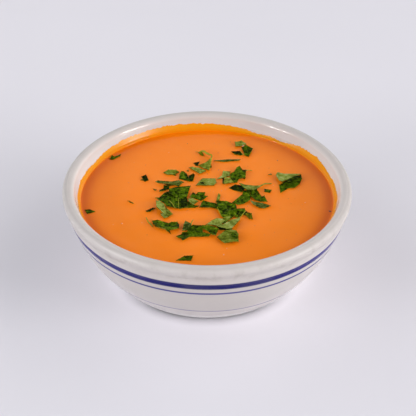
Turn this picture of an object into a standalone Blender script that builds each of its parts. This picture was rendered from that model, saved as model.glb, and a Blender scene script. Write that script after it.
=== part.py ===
"""A round stoneware bowl filled with tomato soup and strewn with chopped flat parsley.

Run with blender --background --python part.py, or from the text editor.
Lengths are metres. The origin is the middle of the foot, on the table, and +Z is up.
"""
import math

import bmesh
import bpy

MM = 0.001

# Bowl, a turned piece
RIM_RADIUS = 75.0 * MM           # widest point, a little below the crest
BOWL_HEIGHT = 52.4 * MM
RIM_THICKNESS = 6.3 * MM
RIM_CREST = 2.8 * MM             # how far the crest stands above the widest point
NECK_RADIUS = 73.4 * MM          # under the rolled rim, where the wall proper starts
NECK_DROP = 7.8 * MM             # below the crest
WALL_THICKNESS = 6.3 * MM
FOOT_RADIUS = 46.2 * MM
FOOT_HEIGHT = 1.4 * MM           # bare clay ring that the glaze stops short of
FOOT_SETBACK = 0.7 * MM          # how far the ring lies inside the glazed wall
FOOT_WIDTH = 5.0 * MM
FOOT_RECESS = 2.4 * MM           # hollow under the bowl, inside the ring
FLOOR_THICKNESS = 5.6 * MM
WALL_TOP_ANGLE = 14.0            # degrees from upright
WALL_TOP_REACH = 9.0 * MM
WALL_FOOT_ANGLE = 50.0
WALL_FOOT_REACH = 24.0 * MM
FLOOR_RADIUS = 34.0 * MM         # where the flat inside floor starts to rise

# Soup, which fills the bowl to below the rim
SOUP_DROP = 8.6 * MM             # level below the crest
MENISCUS_RISE = 0.8 * MM
MENISCUS_WIDTH = 3.0 * MM
CONTACT_GAP = 0.3 * MM

# Parsley
LEAF_THICKNESS = 0.45 * MM
LEAF_SIDES = 24

SIDES = 72                       # round the bowl and the soup

# Each leaf: name, across, back, length, width (mm), heading (degrees), lobes, notch (share of reach),
# lift of its far end (mm), and whether the pale underside shows.
LEAVES = (
    ("leaf_large_left", -15.0, -0.3, 19.5, 9.5, 88, 3, 0.31, 0.7, False),
    ("leaf_side_left", -23.0, -3.0, 13.0, 4.6, 60, 3, 0.38, 0.5, False),
    ("leaf_strip_left", -20.0, 13.4, 14.0, 3.4, 172, 2, 0.21, 0.8, False),
    ("leaf_forked", -11.3, 19.4, 9.6, 6.6, 82, 2, 0.46, 0.5, False),
    ("leaf_fold_left", -23.4, -12.4, 12.5, 3.6, 110, 2, 0.24, 1.6, True),
    ("leaf_long_left", -21.2, -25.2, 14.5, 5.8, 165, 3, 0.35, 0.8, False),
    ("leaf_cluster_front", -5.0, -30.3, 19.0, 7.6, 12, 5, 0.41, 0.6, False),
    ("leaf_front_right", 11.4, -35.0, 11.0, 9.6, 140, 5, 0.24, 1.2, True),
    ("leaf_pale_front", 7.6, -23.8, 14.0, 6.2, 22, 4, 0.28, 1.4, True),
    ("leaf_large_middle", 11.6, -11.6, 14.5, 10.4, 105, 3, 0.31, 0.8, False),
    ("leaf_band_middle", 0.6, -6.6, 8.6, 5.2, 165, 2, 0.21, 0.5, False),
    ("leaf_lobed_middle", -4.6, 0.4, 9.0, 7.2, 70, 5, 0.48, 0.6, False),
    ("leaf_dark_right", 18.0, -1.0, 12.6, 6.0, 52, 2, 0.18, 0.6, False),
    ("leaf_lobed_right", 27.6, -0.9, 8.2, 7.2, 20, 4, 0.41, 0.6, False),
    ("leaf_crescent", 25.2, 9.6, 15.0, 3.6, 0, 2, 0.14, 1.6, True),
    ("leaf_toothed", 16.0, 22.4, 13.5, 7.2, 78, 5, 0.45, 1.2, False),
    ("leaf_pale_middle", -0.2, 14.2, 10.4, 5.8, 5, 2, 0.14, 0.5, True),
    ("leaf_pale_back", -5.4, 26.2, 10.0, 4.2, 150, 2, 0.18, 0.6, True),
    ("leaf_pale_left", -19.2, 23.4, 8.4, 4.4, 175, 2, 0.18, 0.5, True),
    ("leaf_folded_right", 43.6, 15.4, 15.0, 9.0, 42, 3, 0.24, 1.8, False),
    ("leaf_back", 21.8, 45.2, 11.5, 5.2, 98, 4, 0.38, 1.0, False),
    ("leaf_front_chip", -10.4, -53.4, 8.6, 3.4, 14, 2, 0.21, 0.4, False),
)


def curve_points(start, start_pull, end_pull, end, count):
    """Points of a cubic curve, from start to end, each an (outwards, up) pair."""
    points = []
    for step in range(count + 1):
        t = step / count
        weights = ((1 - t) ** 3, 3 * (1 - t) ** 2 * t, 3 * (1 - t) * t ** 2, t ** 3)
        corners = (start, start_pull, end_pull, end)
        points.append(tuple(sum(w * c[axis] for w, c in zip(weights, corners)) for axis in (0, 1)))
    return points


def ellipse_points(centre, reach, from_degrees, to_degrees, count):
    """Points along an ellipse's arc, both ends included."""
    points = []
    for step in range(count + 1):
        angle = math.radians(from_degrees + (to_degrees - from_degrees) * step / count)
        points.append((centre[0] + reach[0] * math.cos(angle), centre[1] + reach[1] * math.sin(angle)))
    return points


def leaning(point, degrees_from_upright, distance):
    """A point that lies a distance further up along a leaning line."""
    angle = math.radians(degrees_from_upright)
    return (point[0] + distance * math.sin(angle), point[1] + distance * math.cos(angle))


def offset_left(points, distance):
    """The points moved sideways, to the left of the way they run."""
    moved = []
    for index, point in enumerate(points):
        before = points[max(index - 1, 0)]
        after = points[min(index + 1, len(points) - 1)]
        run = (after[0] - before[0], after[1] - before[1])
        length = math.hypot(*run)
        moved.append((point[0] - run[1] / length * distance, point[1] + run[0] / length * distance))
    return moved


def outer_wall():
    """The glazed outside below the rim, from the neck down to the foot ring."""
    top = (NECK_RADIUS, BOWL_HEIGHT - NECK_DROP)
    bottom = (FOOT_RADIUS + FOOT_SETBACK, FOOT_HEIGHT)
    return curve_points(
        top,
        leaning(top, WALL_TOP_ANGLE, -WALL_TOP_REACH),
        leaning(bottom, WALL_FOOT_ANGLE, WALL_FOOT_REACH),
        bottom,
        10,
    )


def inner_wall():
    """The inside of the bowl, from the middle of its floor up to just below the rim."""
    climbing = list(reversed(outer_wall()))
    inside = offset_left(climbing, WALL_THICKNESS)
    upper = inside[4:]
    floor_height = FOOT_RECESS + FLOOR_THICKNESS
    floor_edge = (FLOOR_RADIUS, floor_height)
    rise = math.degrees(math.atan2(inside[5][0] - inside[3][0], inside[5][1] - inside[3][1]))
    pull = (upper[0][0] - floor_edge[0]) / 2
    corner = curve_points(
        floor_edge,
        (floor_edge[0] + pull, floor_height),
        leaning(upper[0], rise, -pull / 2),
        upper[0],
        4,
    )
    return [(0.0, floor_height)] + corner[:-1] + upper


def rim():
    """The rolled rim, from the inner wall over the crest to the neck."""
    middle = (RIM_RADIUS - RIM_THICKNESS / 2, BOWL_HEIGHT - RIM_CREST)
    half = (RIM_THICKNESS / 2, RIM_CREST)
    crest = ellipse_points(middle, half, 180.0, 0.0, 8)
    neck = (NECK_RADIUS, BOWL_HEIGHT - NECK_DROP)
    hollow = curve_points(
        crest[-1],
        (crest[-1][0], crest[-1][1] - half[1] * 0.8),
        (neck[0], neck[1] + half[1] * 0.8),
        neck,
        3,
    )
    return crest + hollow[1:-1]


def foot():
    """The bare clay ring and the hollow inside it, ending on the axis."""
    inside = FOOT_RADIUS - FOOT_WIDTH
    return [
        (FOOT_RADIUS, FOOT_HEIGHT),
        (FOOT_RADIUS, 0.0),
        (inside, 0.0),
        (inside - FOOT_RECESS / 2, FOOT_RECESS),
        (0.0, FOOT_RECESS),
    ]


def soup_profile():
    """The soup, from the middle of its surface over the meniscus and down the inner wall."""
    level = BOWL_HEIGHT - SOUP_DROP
    wall = [(r - CONTACT_GAP, z + CONTACT_GAP) for r, z in inner_wall()[1:]]
    below = [point for point in wall if point[1] < level - MENISCUS_RISE]
    edge_radius = radius_at(wall, level + MENISCUS_RISE)
    meniscus = curve_points(
        (edge_radius - MENISCUS_WIDTH, level),
        (edge_radius - MENISCUS_WIDTH / 2, level),
        (edge_radius - MENISCUS_WIDTH / 8, level + MENISCUS_RISE / 3),
        (edge_radius, level + MENISCUS_RISE),
        3,
    )
    middle_ring = (edge_radius / 2, level)
    bottom = (0.0, below[0][1])
    return [(0.0, level), middle_ring] + meniscus + list(reversed(below)) + [bottom]


def radius_at(points, height):
    """How far out a rising line of points lies at a height."""
    for low, high in zip(points, points[1:]):
        if low[1] <= height <= high[1]:
            share = (height - low[1]) / (high[1] - low[1])
            return low[0] + (high[0] - low[0]) * share
    return points[-1][0]


def material(name, colour, roughness, coat=0.0):
    """A plain Principled material."""
    made = bpy.data.materials.new(name)
    made.use_nodes = True
    shader = made.node_tree.nodes["Principled BSDF"]
    shader.inputs["Base Color"].default_value = (*colour, 1.0)
    shader.inputs["Roughness"].default_value = roughness
    shader.inputs["Metallic"].default_value = 0.0
    shader.inputs["Coat Weight"].default_value = coat
    return made


def add_object(name, mesh, made_of, collection):
    """An object of a mesh, in a collection and in a material."""
    thing = bpy.data.objects.new(name, mesh)
    thing.data.materials.append(made_of)
    collection.objects.link(thing)
    return thing


def turned(name, profile, made_of, collection):
    """A solid of revolution: a profile at +X with a Screw modifier."""
    mesh = bpy.data.meshes.new(name)
    vertices = [(outwards, 0.0, up) for outwards, up in profile]
    edges = [(index, index + 1) for index in range(len(profile) - 1)]
    mesh.from_pydata(vertices, edges, [])
    thing = add_object(name, mesh, made_of, collection)
    screw = thing.modifiers.new("Turn", "SCREW")
    screw.steps = SIDES
    screw.render_steps = SIDES
    screw.use_merge_vertices = True
    screw.merge_threshold = 0.01 * MM
    screw.use_smooth_shade = True
    return thing


def leaf_reach(angle, length, width, lobes, notch):
    """How far a leaf's edge lies from its middle, in the direction of an angle from its heading.

    The edge is an oval with pointed lobes: it falls back from each point into a round notch.
    """
    oval = (length / 2) * (width / 2) / math.hypot(width / 2 * math.cos(angle), length / 2 * math.sin(angle))
    return oval * (1.0 - notch * abs(math.sin(lobes * angle / 2)))


def leaf(name, across, back, length, width, heading, lobes, notch, lift, made_of, collection):
    """A lobed blade that lies on the soup, with its far end and its edges lifted a little."""
    shape = bmesh.new()
    bmesh.ops.create_circle(shape, cap_ends=True, segments=LEAF_SIDES, radius=1.0)
    ring = bmesh.ops.inset_region(shape, faces=shape.faces[:], thickness=0.45)
    middle = [face for face in shape.faces if face not in ring["faces"]]
    bmesh.ops.poke(shape, faces=middle)
    for vertex in shape.verts:
        angle = math.atan2(vertex.co.y, vertex.co.x)
        share = vertex.co.xy.length
        reach = leaf_reach(angle, length, width, lobes, notch) * share
        vertex.co.x = reach * math.cos(angle)
        vertex.co.y = reach * math.sin(angle)
        along = vertex.co.x / length + 0.5
        vertex.co.z = lift * (0.7 * along ** 2 + 0.3 * share ** 2)
    mesh = bpy.data.meshes.new(name)
    shape.to_mesh(mesh)
    shape.free()
    mesh.shade_smooth()
    thing = add_object(name, mesh, made_of, collection)
    thing.location = (across, back, BOWL_HEIGHT - SOUP_DROP + CONTACT_GAP)
    thing.rotation_euler = (0.0, 0.0, math.radians(heading))
    thickness = thing.modifiers.new("Blade", "SOLIDIFY")
    thickness.thickness = LEAF_THICKNESS
    thickness.offset = 1.0
    return thing


def clear_scene():
    for thing in list(bpy.data.objects):
        bpy.data.objects.remove(thing)


def build():
    clear_scene()
    collection = bpy.data.collections.new("tomato_soup")
    bpy.context.scene.collection.children.link(collection)

    glaze = material("white_glaze", (0.62, 0.58, 0.57), 0.25, 0.5)
    soup = material("tomato_soup", (0.84, 0.22, 0.03), 0.30, 0.3)
    dark_leaf = material("parsley_top", (0.03, 0.09, 0.01), 0.50)
    pale_leaf = material("parsley_underside", (0.20, 0.29, 0.08), 0.60)

    bowl = turned("bowl", inner_wall() + rim() + outer_wall() + foot(), glaze, collection)
    bowl.data.shade_smooth()
    turned("soup", soup_profile(), soup, collection)
    for name, across, back, length, width, heading, lobes, notch, lift, underside in LEAVES:
        leaf(
            name,
            across * MM,
            back * MM,
            length * MM,
            width * MM,
            heading,
            lobes,
            notch,
            lift * MM,
            pale_leaf if underside else dark_leaf,
            collection,
        )


build()
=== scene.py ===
"""The looks of a bowl of tomato soup with chopped parsley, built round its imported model.

The file is laid out as an add-on: settings, one operator for each piece or group of pieces and one
for the stage, and a panel that lists them. It is run as a script, and main() calls the operators.
Lengths are metres where nothing else is said, heights are above the table, and the bowl stands at the
origin.
"""
import math
import random
from collections import namedtuple

import bpy
import numpy as np
from mathutils import Color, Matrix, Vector, noise


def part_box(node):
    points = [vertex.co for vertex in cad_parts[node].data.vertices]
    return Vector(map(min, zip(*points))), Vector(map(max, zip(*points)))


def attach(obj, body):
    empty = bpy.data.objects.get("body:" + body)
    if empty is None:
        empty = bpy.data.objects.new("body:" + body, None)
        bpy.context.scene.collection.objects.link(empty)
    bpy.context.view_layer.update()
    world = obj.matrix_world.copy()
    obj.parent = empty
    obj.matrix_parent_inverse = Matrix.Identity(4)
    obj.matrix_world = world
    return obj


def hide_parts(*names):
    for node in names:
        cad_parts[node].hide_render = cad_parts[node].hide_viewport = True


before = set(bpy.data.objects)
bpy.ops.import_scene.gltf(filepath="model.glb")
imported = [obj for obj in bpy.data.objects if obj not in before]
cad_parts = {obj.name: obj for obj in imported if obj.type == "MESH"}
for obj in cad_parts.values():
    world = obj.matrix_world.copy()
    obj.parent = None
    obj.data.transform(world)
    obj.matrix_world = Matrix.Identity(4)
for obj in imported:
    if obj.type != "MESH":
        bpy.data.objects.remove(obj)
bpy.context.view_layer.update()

bl_info = {
    "name": "Tomato Soup Bowl",
    "version": (1, 0, 0),
    "blender": (4, 5, 0),
    "location": "View3D > Sidebar > Soup",
    "description": "Builds a stoneware bowl of tomato soup with chopped parsley",
    "category": "Object",
}

MM = 0.001
RIM_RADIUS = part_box("bowl")[1].x
BOWL_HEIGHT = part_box("bowl")[1].z
MENISCUS_RISE = 0.8 * MM
MENISCUS_STEPS = 18
MENISCUS_CROWDING = 1.6          # above 1, its rings lie closer together at the wall
SOUP_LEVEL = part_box("soup")[1].z - MENISCUS_RISE
AXIS_GAP = 1.0 * MM              # radius of the small holes that a turned profile leaves at the axis
WALL_STEPS = 44
SMOOTH_ANGLE = math.radians(50.0)
BLACK = (0.0, 0.0, 0.0)


# ---------------------------------------------------------------- settings

def length_setting(name, description, default):
    return bpy.props.FloatProperty(name=name, description=description, default=default, unit="LENGTH",
                                   subtype="DISTANCE", precision=5)


def colour_setting(name, description, default):
    return bpy.props.FloatVectorProperty(name=name, description=description, default=default, size=3,
                                         subtype="COLOR", min=0.0, max=1.0)


def angle_setting(name, description, degrees):
    return bpy.props.FloatProperty(name=name, description=description, default=math.radians(degrees),
                                   subtype="ANGLE")


def number_setting(name, description, default):
    return bpy.props.FloatProperty(name=name, description=description, default=default)


def power_setting(name, description, default):
    return bpy.props.FloatProperty(name=name, description=description, default=default, unit="POWER")


class BowlSettings(bpy.types.PropertyGroup):
    rim_thickness: length_setting("Rim thickness", "Across the rolled rim", 6.3 * MM)
    rim_crest: length_setting("Rim crest", "How far the crest stands above the widest point", 2.8 * MM)
    neck_radius: length_setting("Neck radius", "Outside radius just under the rolled rim", 73.4 * MM)
    neck_drop: length_setting("Neck drop", "How far the neck lies below the crest", 7.8 * MM)
    wall_thickness: length_setting("Wall thickness", "Through the wall", 6.3 * MM)
    wall_top_angle: angle_setting("Wall top angle", "Lean of the wall at the neck, from upright", 14.0)
    wall_top_reach: length_setting("Wall top reach", "How far the top lean carries down the wall", 9.0 * MM)
    wall_foot_angle: angle_setting("Wall foot angle", "Lean of the wall at the foot, from upright", 50.0)
    wall_foot_reach: length_setting("Wall foot reach", "How far the foot lean carries up the wall", 24.0 * MM)
    foot_radius: length_setting("Foot radius", "Outside radius of the bare ring it stands on", 46.2 * MM)
    foot_height: length_setting("Foot height", "Height of the bare ring", 0.8 * MM)
    foot_setback: length_setting("Foot setback", "How far the ring lies inside the glazed wall", 0.7 * MM)
    foot_width: length_setting("Foot width", "Width of the flat that touches the table", 5.0 * MM)
    foot_recess: length_setting("Foot recess", "Depth of the hollow under the bowl", 2.4 * MM)
    floor_thickness: length_setting("Floor thickness", "Clay under the soup", 5.6 * MM)
    floor_radius: length_setting("Floor radius", "Flat part of the inside floor", 34.0 * MM)
    sides: bpy.props.IntProperty(name="Sides", description="Faces round the bowl", default=224, min=24)
    glaze: colour_setting("Glaze", "White glaze", (0.575, 0.527, 0.508))
    stain: colour_setting("Stain", "Grey-brown stain in the glaze", (0.33, 0.285, 0.26))
    # Painted light: a cooler glaze above the soup, against the orange light that the soup casts on the inner
    # wall.
    inner_painted_cool_light: colour_setting("Inner glaze", "Cooler glaze above the soup", (0.500, 0.555, 0.600))
    # Painted light: lighter glaze just above the foot, where light from the table falls on it.
    foot_painted_light: colour_setting("Foot glaze", "Lighter glaze just above the foot", (0.900, 0.860, 0.840))
    band_colour: colour_setting("Band", "Cobalt blue of the thick band", (0.001, 0.001, 0.092))
    # Painted: the thick band bluer to the left and right, where it turns away and the sheen greys it.
    side_band_painted_colour: colour_setting("Band, sides", "Thick band where it turns away", (0.016, 0.004, 0.205))
    line_colour: colour_setting("Lines", "Thinner cobalt of the thin lines", (0.040, 0.036, 0.200))
    # Bare clay, painted near-black as the shadow where the foot meets the table.
    clay: colour_setting("Clay", "Bare clay of the foot", (0.07, 0.057, 0.048))
    bare_height: length_setting("Bare clay", "How far up the ring the glaze is wiped off", 0.75 * MM)
    band_height: length_setting("Thick band", "Height of the middle of the thick band", 40.0 * MM)
    band_width: length_setting("Thick band width", "Width of the thick band", 3.7 * MM)
    line_height: length_setting("Thin line", "Height of the thin line under the band", 34.6 * MM)
    line_width: length_setting("Thin line width", "Width of the thin line", 1.35 * MM)
    low_line_height: length_setting("Low line", "Height of the faint line low on the wall", 16.4 * MM)
    low_line_width: length_setting("Low line width", "Width of the faint line", 1.0 * MM)


class SoupSettings(bpy.types.PropertyGroup):
    into_wall: length_setting("Into the wall", "How far the soup reaches into the clay", 0.3 * MM)
    meniscus_width: length_setting("Meniscus width", "Width of the ring where the soup climbs", 4.5 * MM)
    meniscus_fade: length_setting("Meniscus fade", "Distance over which the climb falls to a third", 0.9 * MM)
    ripple: length_setting("Ripple", "Height of the slow swells of the surface", 0.10 * MM)
    skin: length_setting("Film", "Thickness of the film of soup on the wall", 0.16 * MM)
    fillet: length_setting("Fillet", "Extra thickness of the film where it leaves the soup", 0.80 * MM)
    fillet_fade: length_setting("Fillet fade", "Height over which the fillet falls to a third", 0.60 * MM)
    shade_gap: length_setting("Shaded ring", "How far from the wall the soup is darkest", 3.0 * MM)
    rings: bpy.props.IntProperty(name="Rings", description="Rings across the surface", default=62, min=8)
    soup: colour_setting("Soup", "Cream of tomato", (0.95, 0.231, 0.011))
    # deep: the richer orange of the clouds, also used as the painted shade in front of the leaves
    deep: colour_setting("Deep soup", "Richer orange in clouds and by the leaves", (0.92, 0.203, 0.004))
    shaded: colour_setting("Shaded soup", "Darker ring along both sides", (0.68, 0.125, 0.0010))
    # Painted shade: deeper orange along the back and sides, by the wall.
    painted_back_shade: colour_setting("Back band", "Deeper orange along the back and sides", (0.90, 0.190, 0.0005))
    # Painted light: lighter orange along the front.
    painted_front_light: colour_setting("Front band", "Lighter orange along the front", (1.0, 0.245, 0.010))
    film: colour_setting("Film", "Thin soup on white glaze", (0.665, 0.250, 0.0005))
    film_foot: colour_setting("Film foot", "Thicker film just above the soup", (0.70, 0.172, 0.0005))
    fleck: colour_setting("Fleck", "Bits of tomato skin", (0.42, 0.11, 0.015))


class ParsleySettings(bpy.types.PropertyGroup):
    thickness: length_setting("Leaf thickness", "Through a leaf", 0.26 * MM)
    tooth: length_setting("Tooth", "Depth of the small teeth along an edge", 0.26 * MM)
    crinkle: length_setting("Crinkle", "Height of the puckers between the veins", 0.30 * MM)
    wave: length_setting("Wave", "Height of the slow bends of a leaf", 0.45 * MM)
    sheet: length_setting("Sheet", "Width of the faces of the sheet that leaves are cut from", 0.42 * MM)
    lobe: length_setting("Lobe", "Distance between the small teeth along an edge", 1.7 * MM)
    vein: colour_setting("Vein", "Veins and midribs", (0.150, 0.205, 0.014))
    stalk: colour_setting("Stalk", "Thin stalks", (0.330, 0.300, 0.006))
    stalk_shade: colour_setting("Stalk shade", "Greener stretches of the stalks", (0.130, 0.150, 0.006))


class StudioSettings(bpy.types.PropertyGroup):
    elevation: angle_setting("Camera elevation", "How far the camera looks down on the rim", 33.68)
    distance: length_setting("Camera distance", "From the middle of the rim", 0.75)
    lens: number_setting("Lens", "Focal length in millimetres", 125.1)
    roll: angle_setting("Camera roll", "Tilt of the picture", 0.42)
    ceiling: number_setting("Ceiling", "Brightness overhead", 0.085)
    walls: number_setting("Walls", "Brightness all round, under the ceiling", 0.52)
    left_wall: number_setting("Left wall", "Extra on the left", 0.88)
    right_wall: number_setting("Right wall", "Extra on the right", 1.30)
    backdrop: number_setting("Backdrop", "Extra behind the bowl", 0.47)
    above_backdrop: number_setting("Above the backdrop", "Extra over the backdrop", -0.44)
    front_wall: number_setting("Front wall", "Extra in front", 0.24)
    dip: number_setting("Dip", "Darker strip across the backdrop", 0.62)
    left_power: power_setting("Left softbox", "Power of the lamp on the left", 13.2)
    right_power: power_setting("Right softbox", "Power of the lamp on the right", 18.2)
    glint_power: power_setting("Glints", "Power of the lamps that only glint", 55.0)
    left_tint: colour_setting("Left wall tint", "Colour of the light from the left", (0.93, 0.965, 1.0))
    table: colour_setting("Table", "Pale table top", (0.749, 0.727, 0.781))


# ---------------------------------------------------------------- modelling helpers

def deselect_all():
    if bpy.context.mode != "OBJECT":
        bpy.ops.object.mode_set(mode="OBJECT")
    bpy.ops.object.select_all(action="DESELECT")


def pick(*things):
    """Selects just these objects, the first one active."""
    deselect_all()
    for thing in things:
        thing.select_set(True)
    bpy.context.view_layer.objects.active = things[0]


def settle(thing, name):
    """Names an object and moves its place, turn and size into its mesh."""
    pick(thing)
    bpy.ops.object.transform_apply(location=True, rotation=True, scale=True)
    thing.name = name
    thing.data.name = name
    return thing


def apply_modifiers(thing):
    pick(thing)
    for modifier in list(thing.modifiers):
        bpy.ops.object.modifier_apply(modifier=modifier.name)


def join(name, things):
    """One piece of several, with the first one's settings."""
    pick(*things)
    if len(things) > 1:
        bpy.ops.object.join()
    return settle(bpy.context.view_layer.objects.active, name)


def finish_piece(piece, nodes=(), materials=()):
    """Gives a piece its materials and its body."""
    for material in materials:
        piece.data.materials.append(material)
    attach(piece, "root")
    if nodes:
        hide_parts(*nodes)
    return piece


def curve_points(start, start_pull, end_pull, end, count):
    """Points of a cubic curve from start to end, each an (outwards, up) pair."""
    points = []
    for step in range(count + 1):
        t = step / count
        weights = ((1 - t) ** 3, 3 * (1 - t) ** 2 * t, 3 * (1 - t) * t ** 2, t ** 3)
        corners = (start, start_pull, end_pull, end)
        points.append(tuple(sum(w * c[axis] for w, c in zip(weights, corners)) for axis in (0, 1)))
    return points


def ellipse_points(centre, reach, from_degrees, to_degrees, count):
    points = []
    for step in range(count + 1):
        angle = math.radians(from_degrees + (to_degrees - from_degrees) * step / count)
        points.append((centre[0] + reach[0] * math.cos(angle), centre[1] + reach[1] * math.sin(angle)))
    return points


def leaning(point, angle, distance):
    """A point that lies a distance further up along a line that leans from upright."""
    return (point[0] + distance * math.sin(angle), point[1] + distance * math.cos(angle))


def offset_left(points, distance):
    """The points moved sideways, to the left of the way they run."""
    moved = []
    for index, point in enumerate(points):
        before = points[max(index - 1, 0)]
        after = points[min(index + 1, len(points) - 1)]
        run = (after[0] - before[0], after[1] - before[1])
        length = math.hypot(*run)
        moved.append((point[0] - run[1] / length * distance, point[1] + run[0] / length * distance))
    return moved


def radius_at(points, height):
    """How far out a rising line of points lies at a height."""
    heights = [point[1] for point in points]
    return float(np.interp(height, heights, [point[0] for point in points]))


def throw_on_wheel(name, profile, sides, closed=True):
    """Pulls a turned wall up ring by ring, as a potter does, and closes its two small ends."""
    deselect_all()
    (radius, height), rest = profile[0], profile[1:]
    bpy.ops.mesh.primitive_circle_add(vertices=sides, radius=radius, location=(0.0, 0.0, height))
    thing = bpy.context.object
    bpy.ops.object.mode_set(mode="EDIT")
    bpy.ops.mesh.select_all(action="SELECT")
    for next_radius, next_height in rest:
        bpy.ops.mesh.extrude_region_move(
            TRANSFORM_OT_translate={"value": (0.0, 0.0, next_height - height)})
        share = next_radius / radius
        bpy.ops.transform.resize(value=(share, share, 1.0), center_override=(0.0, 0.0, next_height))
        radius, height = next_radius, next_height
    bpy.ops.mesh.select_all(action="SELECT")
    if closed:
        bpy.ops.mesh.fill_holes(sides=0)
        bpy.ops.mesh.normals_make_consistent(inside=False)
    bpy.ops.object.mode_set(mode="OBJECT")
    bpy.ops.object.shade_smooth_by_angle(angle=SMOOTH_ANGLE)
    return settle(thing, name)


def weld(thing, threshold):
    """Merges points that lie together, turns the faces outwards and shades them smooth."""
    pick(thing)
    bpy.ops.object.mode_set(mode="EDIT")
    bpy.ops.mesh.select_all(action="SELECT")
    bpy.ops.mesh.remove_doubles(threshold=threshold)
    bpy.ops.mesh.normals_make_consistent(inside=False)
    bpy.ops.object.mode_set(mode="OBJECT")
    bpy.ops.object.shade_smooth()


def positions(mesh):
    """The mesh's vertices as rows of x, y, z."""
    rows = np.empty(len(mesh.vertices) * 3)
    mesh.vertices.foreach_get("co", rows)
    return rows.reshape(-1, 3)


def set_positions(mesh, rows):
    mesh.vertices.foreach_set("co", np.ascontiguousarray(rows, dtype=np.float32).ravel())
    mesh.update()


def gap_to_outline(points, outline):
    """For x, y points and a closed outline: the gap to it, the nearest place on it, and if it is inside."""
    gap = np.full(len(points), 1.0)
    nearest = np.zeros_like(points)
    inside = np.zeros(len(points), dtype=bool)
    for start, end in zip(outline, np.roll(outline, -1, axis=0)):
        side = end - start
        share = np.clip(((points - start) @ side) / (side @ side), 0.0, 1.0)
        place = start + share[:, None] * side
        away = np.linalg.norm(points - place, axis=1)
        closer = away < gap
        gap[closer] = away[closer]
        nearest[closer] = place[closer]
        crosses = (start[1] > points[:, 1]) != (end[1] > points[:, 1])
        height = side[1] if side[1] else 1.0
        inside ^= crosses & (points[:, 0] < start[0] + (points[:, 1] - start[1]) * side[0] / height)
    return gap, nearest, inside


def paint_attribute(mesh, name, values):
    """A number at each vertex, for a material to read."""
    layer = mesh.attributes.new(name, "FLOAT", "POINT")
    layer.data.foreach_set("value", np.asarray(values, dtype=np.float32))


# ---------------------------------------------------------------- material helpers

class Nodes:
    """Short calls for adding nodes to a tree and joining them."""

    def __init__(self, tree):
        self.tree = tree

    def add(self, kind, **settings):
        made = self.tree.nodes.new(kind)
        for key, value in settings.items():
            setattr(made, key, value)
        return made

    def feed(self, socket, value):
        """Joins a socket to another, or sets its value."""
        if isinstance(value, bpy.types.NodeSocket):
            self.tree.links.new(value, socket)
        elif isinstance(value, (tuple, Color)) and len(socket.default_value) == 4:
            socket.default_value = (*value[:3], 1.0)
        else:
            socket.default_value = value

    def math(self, operation, *values):
        made = self.add("ShaderNodeMath", operation=operation)
        for socket, value in zip(made.inputs, values):
            self.feed(socket, value)
        return made.outputs[0]

    def product(self, first, *others):
        for other in others:
            first = self.math("MULTIPLY", first, other)
        return first

    def total(self, first, *others):
        for other in others:
            first = self.math("ADD", first, other)
        return first

    def split(self, vector):
        """The x, y and z of a vector."""
        made = self.add("ShaderNodeSeparateXYZ")
        self.feed(made.inputs[0], vector)
        return made.outputs

    def radius(self, x, y):
        """Distance of a place from the bowl's axis."""
        return self.math("POWER", self.total(self.math("POWER", x, 2.0), self.math("POWER", y, 2.0)), 0.5)

    def painted(self, name):
        """A number that was painted on the piece."""
        return self.add("ShaderNodeAttribute", attribute_name=name).outputs["Fac"]

    def fade(self, value, low, high, to_low=0.0, to_high=1.0):
        """A smooth step from to_low at low to to_high at high."""
        made = self.add("ShaderNodeMapRange", interpolation_type="SMOOTHSTEP")
        for name, setting in (("Value", value), ("From Min", low), ("From Max", high),
                              ("To Min", to_low), ("To Max", to_high)):
            self.feed(made.inputs[name], setting)
        return made.outputs[0]

    def mix(self, share, first, second):
        made = self.add("ShaderNodeMix", data_type="RGBA")
        self.feed(made.inputs[0], share)
        self.feed(made.inputs[6], first)
        self.feed(made.inputs[7], second)
        return made.outputs[2]

    def noise(self, vector, scale, detail=2.0, roughness=0.5):
        made = self.add("ShaderNodeTexNoise")
        for name, setting in (("Vector", vector), ("Scale", scale), ("Detail", detail),
                              ("Roughness", roughness)):
            self.feed(made.inputs[name], setting)
        return made.outputs["Fac"]

    def patches(self, place, scale, low, high):
        """Soft-edged patches of a noise: 0 where it is under low, 1 where it is over high."""
        return self.group(shared_group("Mottle", mottle_group), vector=place, scale=scale, low=low, high=high)

    def layers(self, colour, *layers):
        """A colour with others laid over it, each given as a (share, colour) pair."""
        for share, over in layers:
            colour = self.mix(share, colour, over)
        return colour

    def group(self, group, **values):
        """Places a node group with its own values, and returns its first output."""
        made = self.add("ShaderNodeGroup", node_tree=group)
        for name, value in values.items():
            self.feed(made.inputs[name.replace("_", " ").title()], value)
        return made.outputs[0]

    def bump(self, height, distance, strength=1.0, normal=None):
        made = self.add("ShaderNodeBump")
        self.feed(made.inputs["Height"], height)
        made.inputs["Distance"].default_value = distance
        made.inputs["Strength"].default_value = strength
        if normal is not None:
            self.feed(made.inputs["Normal"], normal)
        return made.outputs[0]

    def surface(self, shader, colour, roughness, normal, ior=1.5, specular=0.5):
        self.feed(shader.inputs["Base Color"], colour)
        self.feed(shader.inputs["Roughness"], roughness)
        self.feed(shader.inputs["Normal"], normal)
        shader.inputs["IOR"].default_value = ior
        shader.inputs["Specular IOR Level"].default_value = specular


def new_material(name):
    """A material, its nodes, its Principled shader, and the place on the piece in metres."""
    material = bpy.data.materials.new(name)
    material.use_nodes = True
    nodes = Nodes(material.node_tree)
    place = nodes.add("ShaderNodeTexCoord").outputs["Object"]
    return material, nodes, material.node_tree.nodes["Principled BSDF"], place


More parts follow.
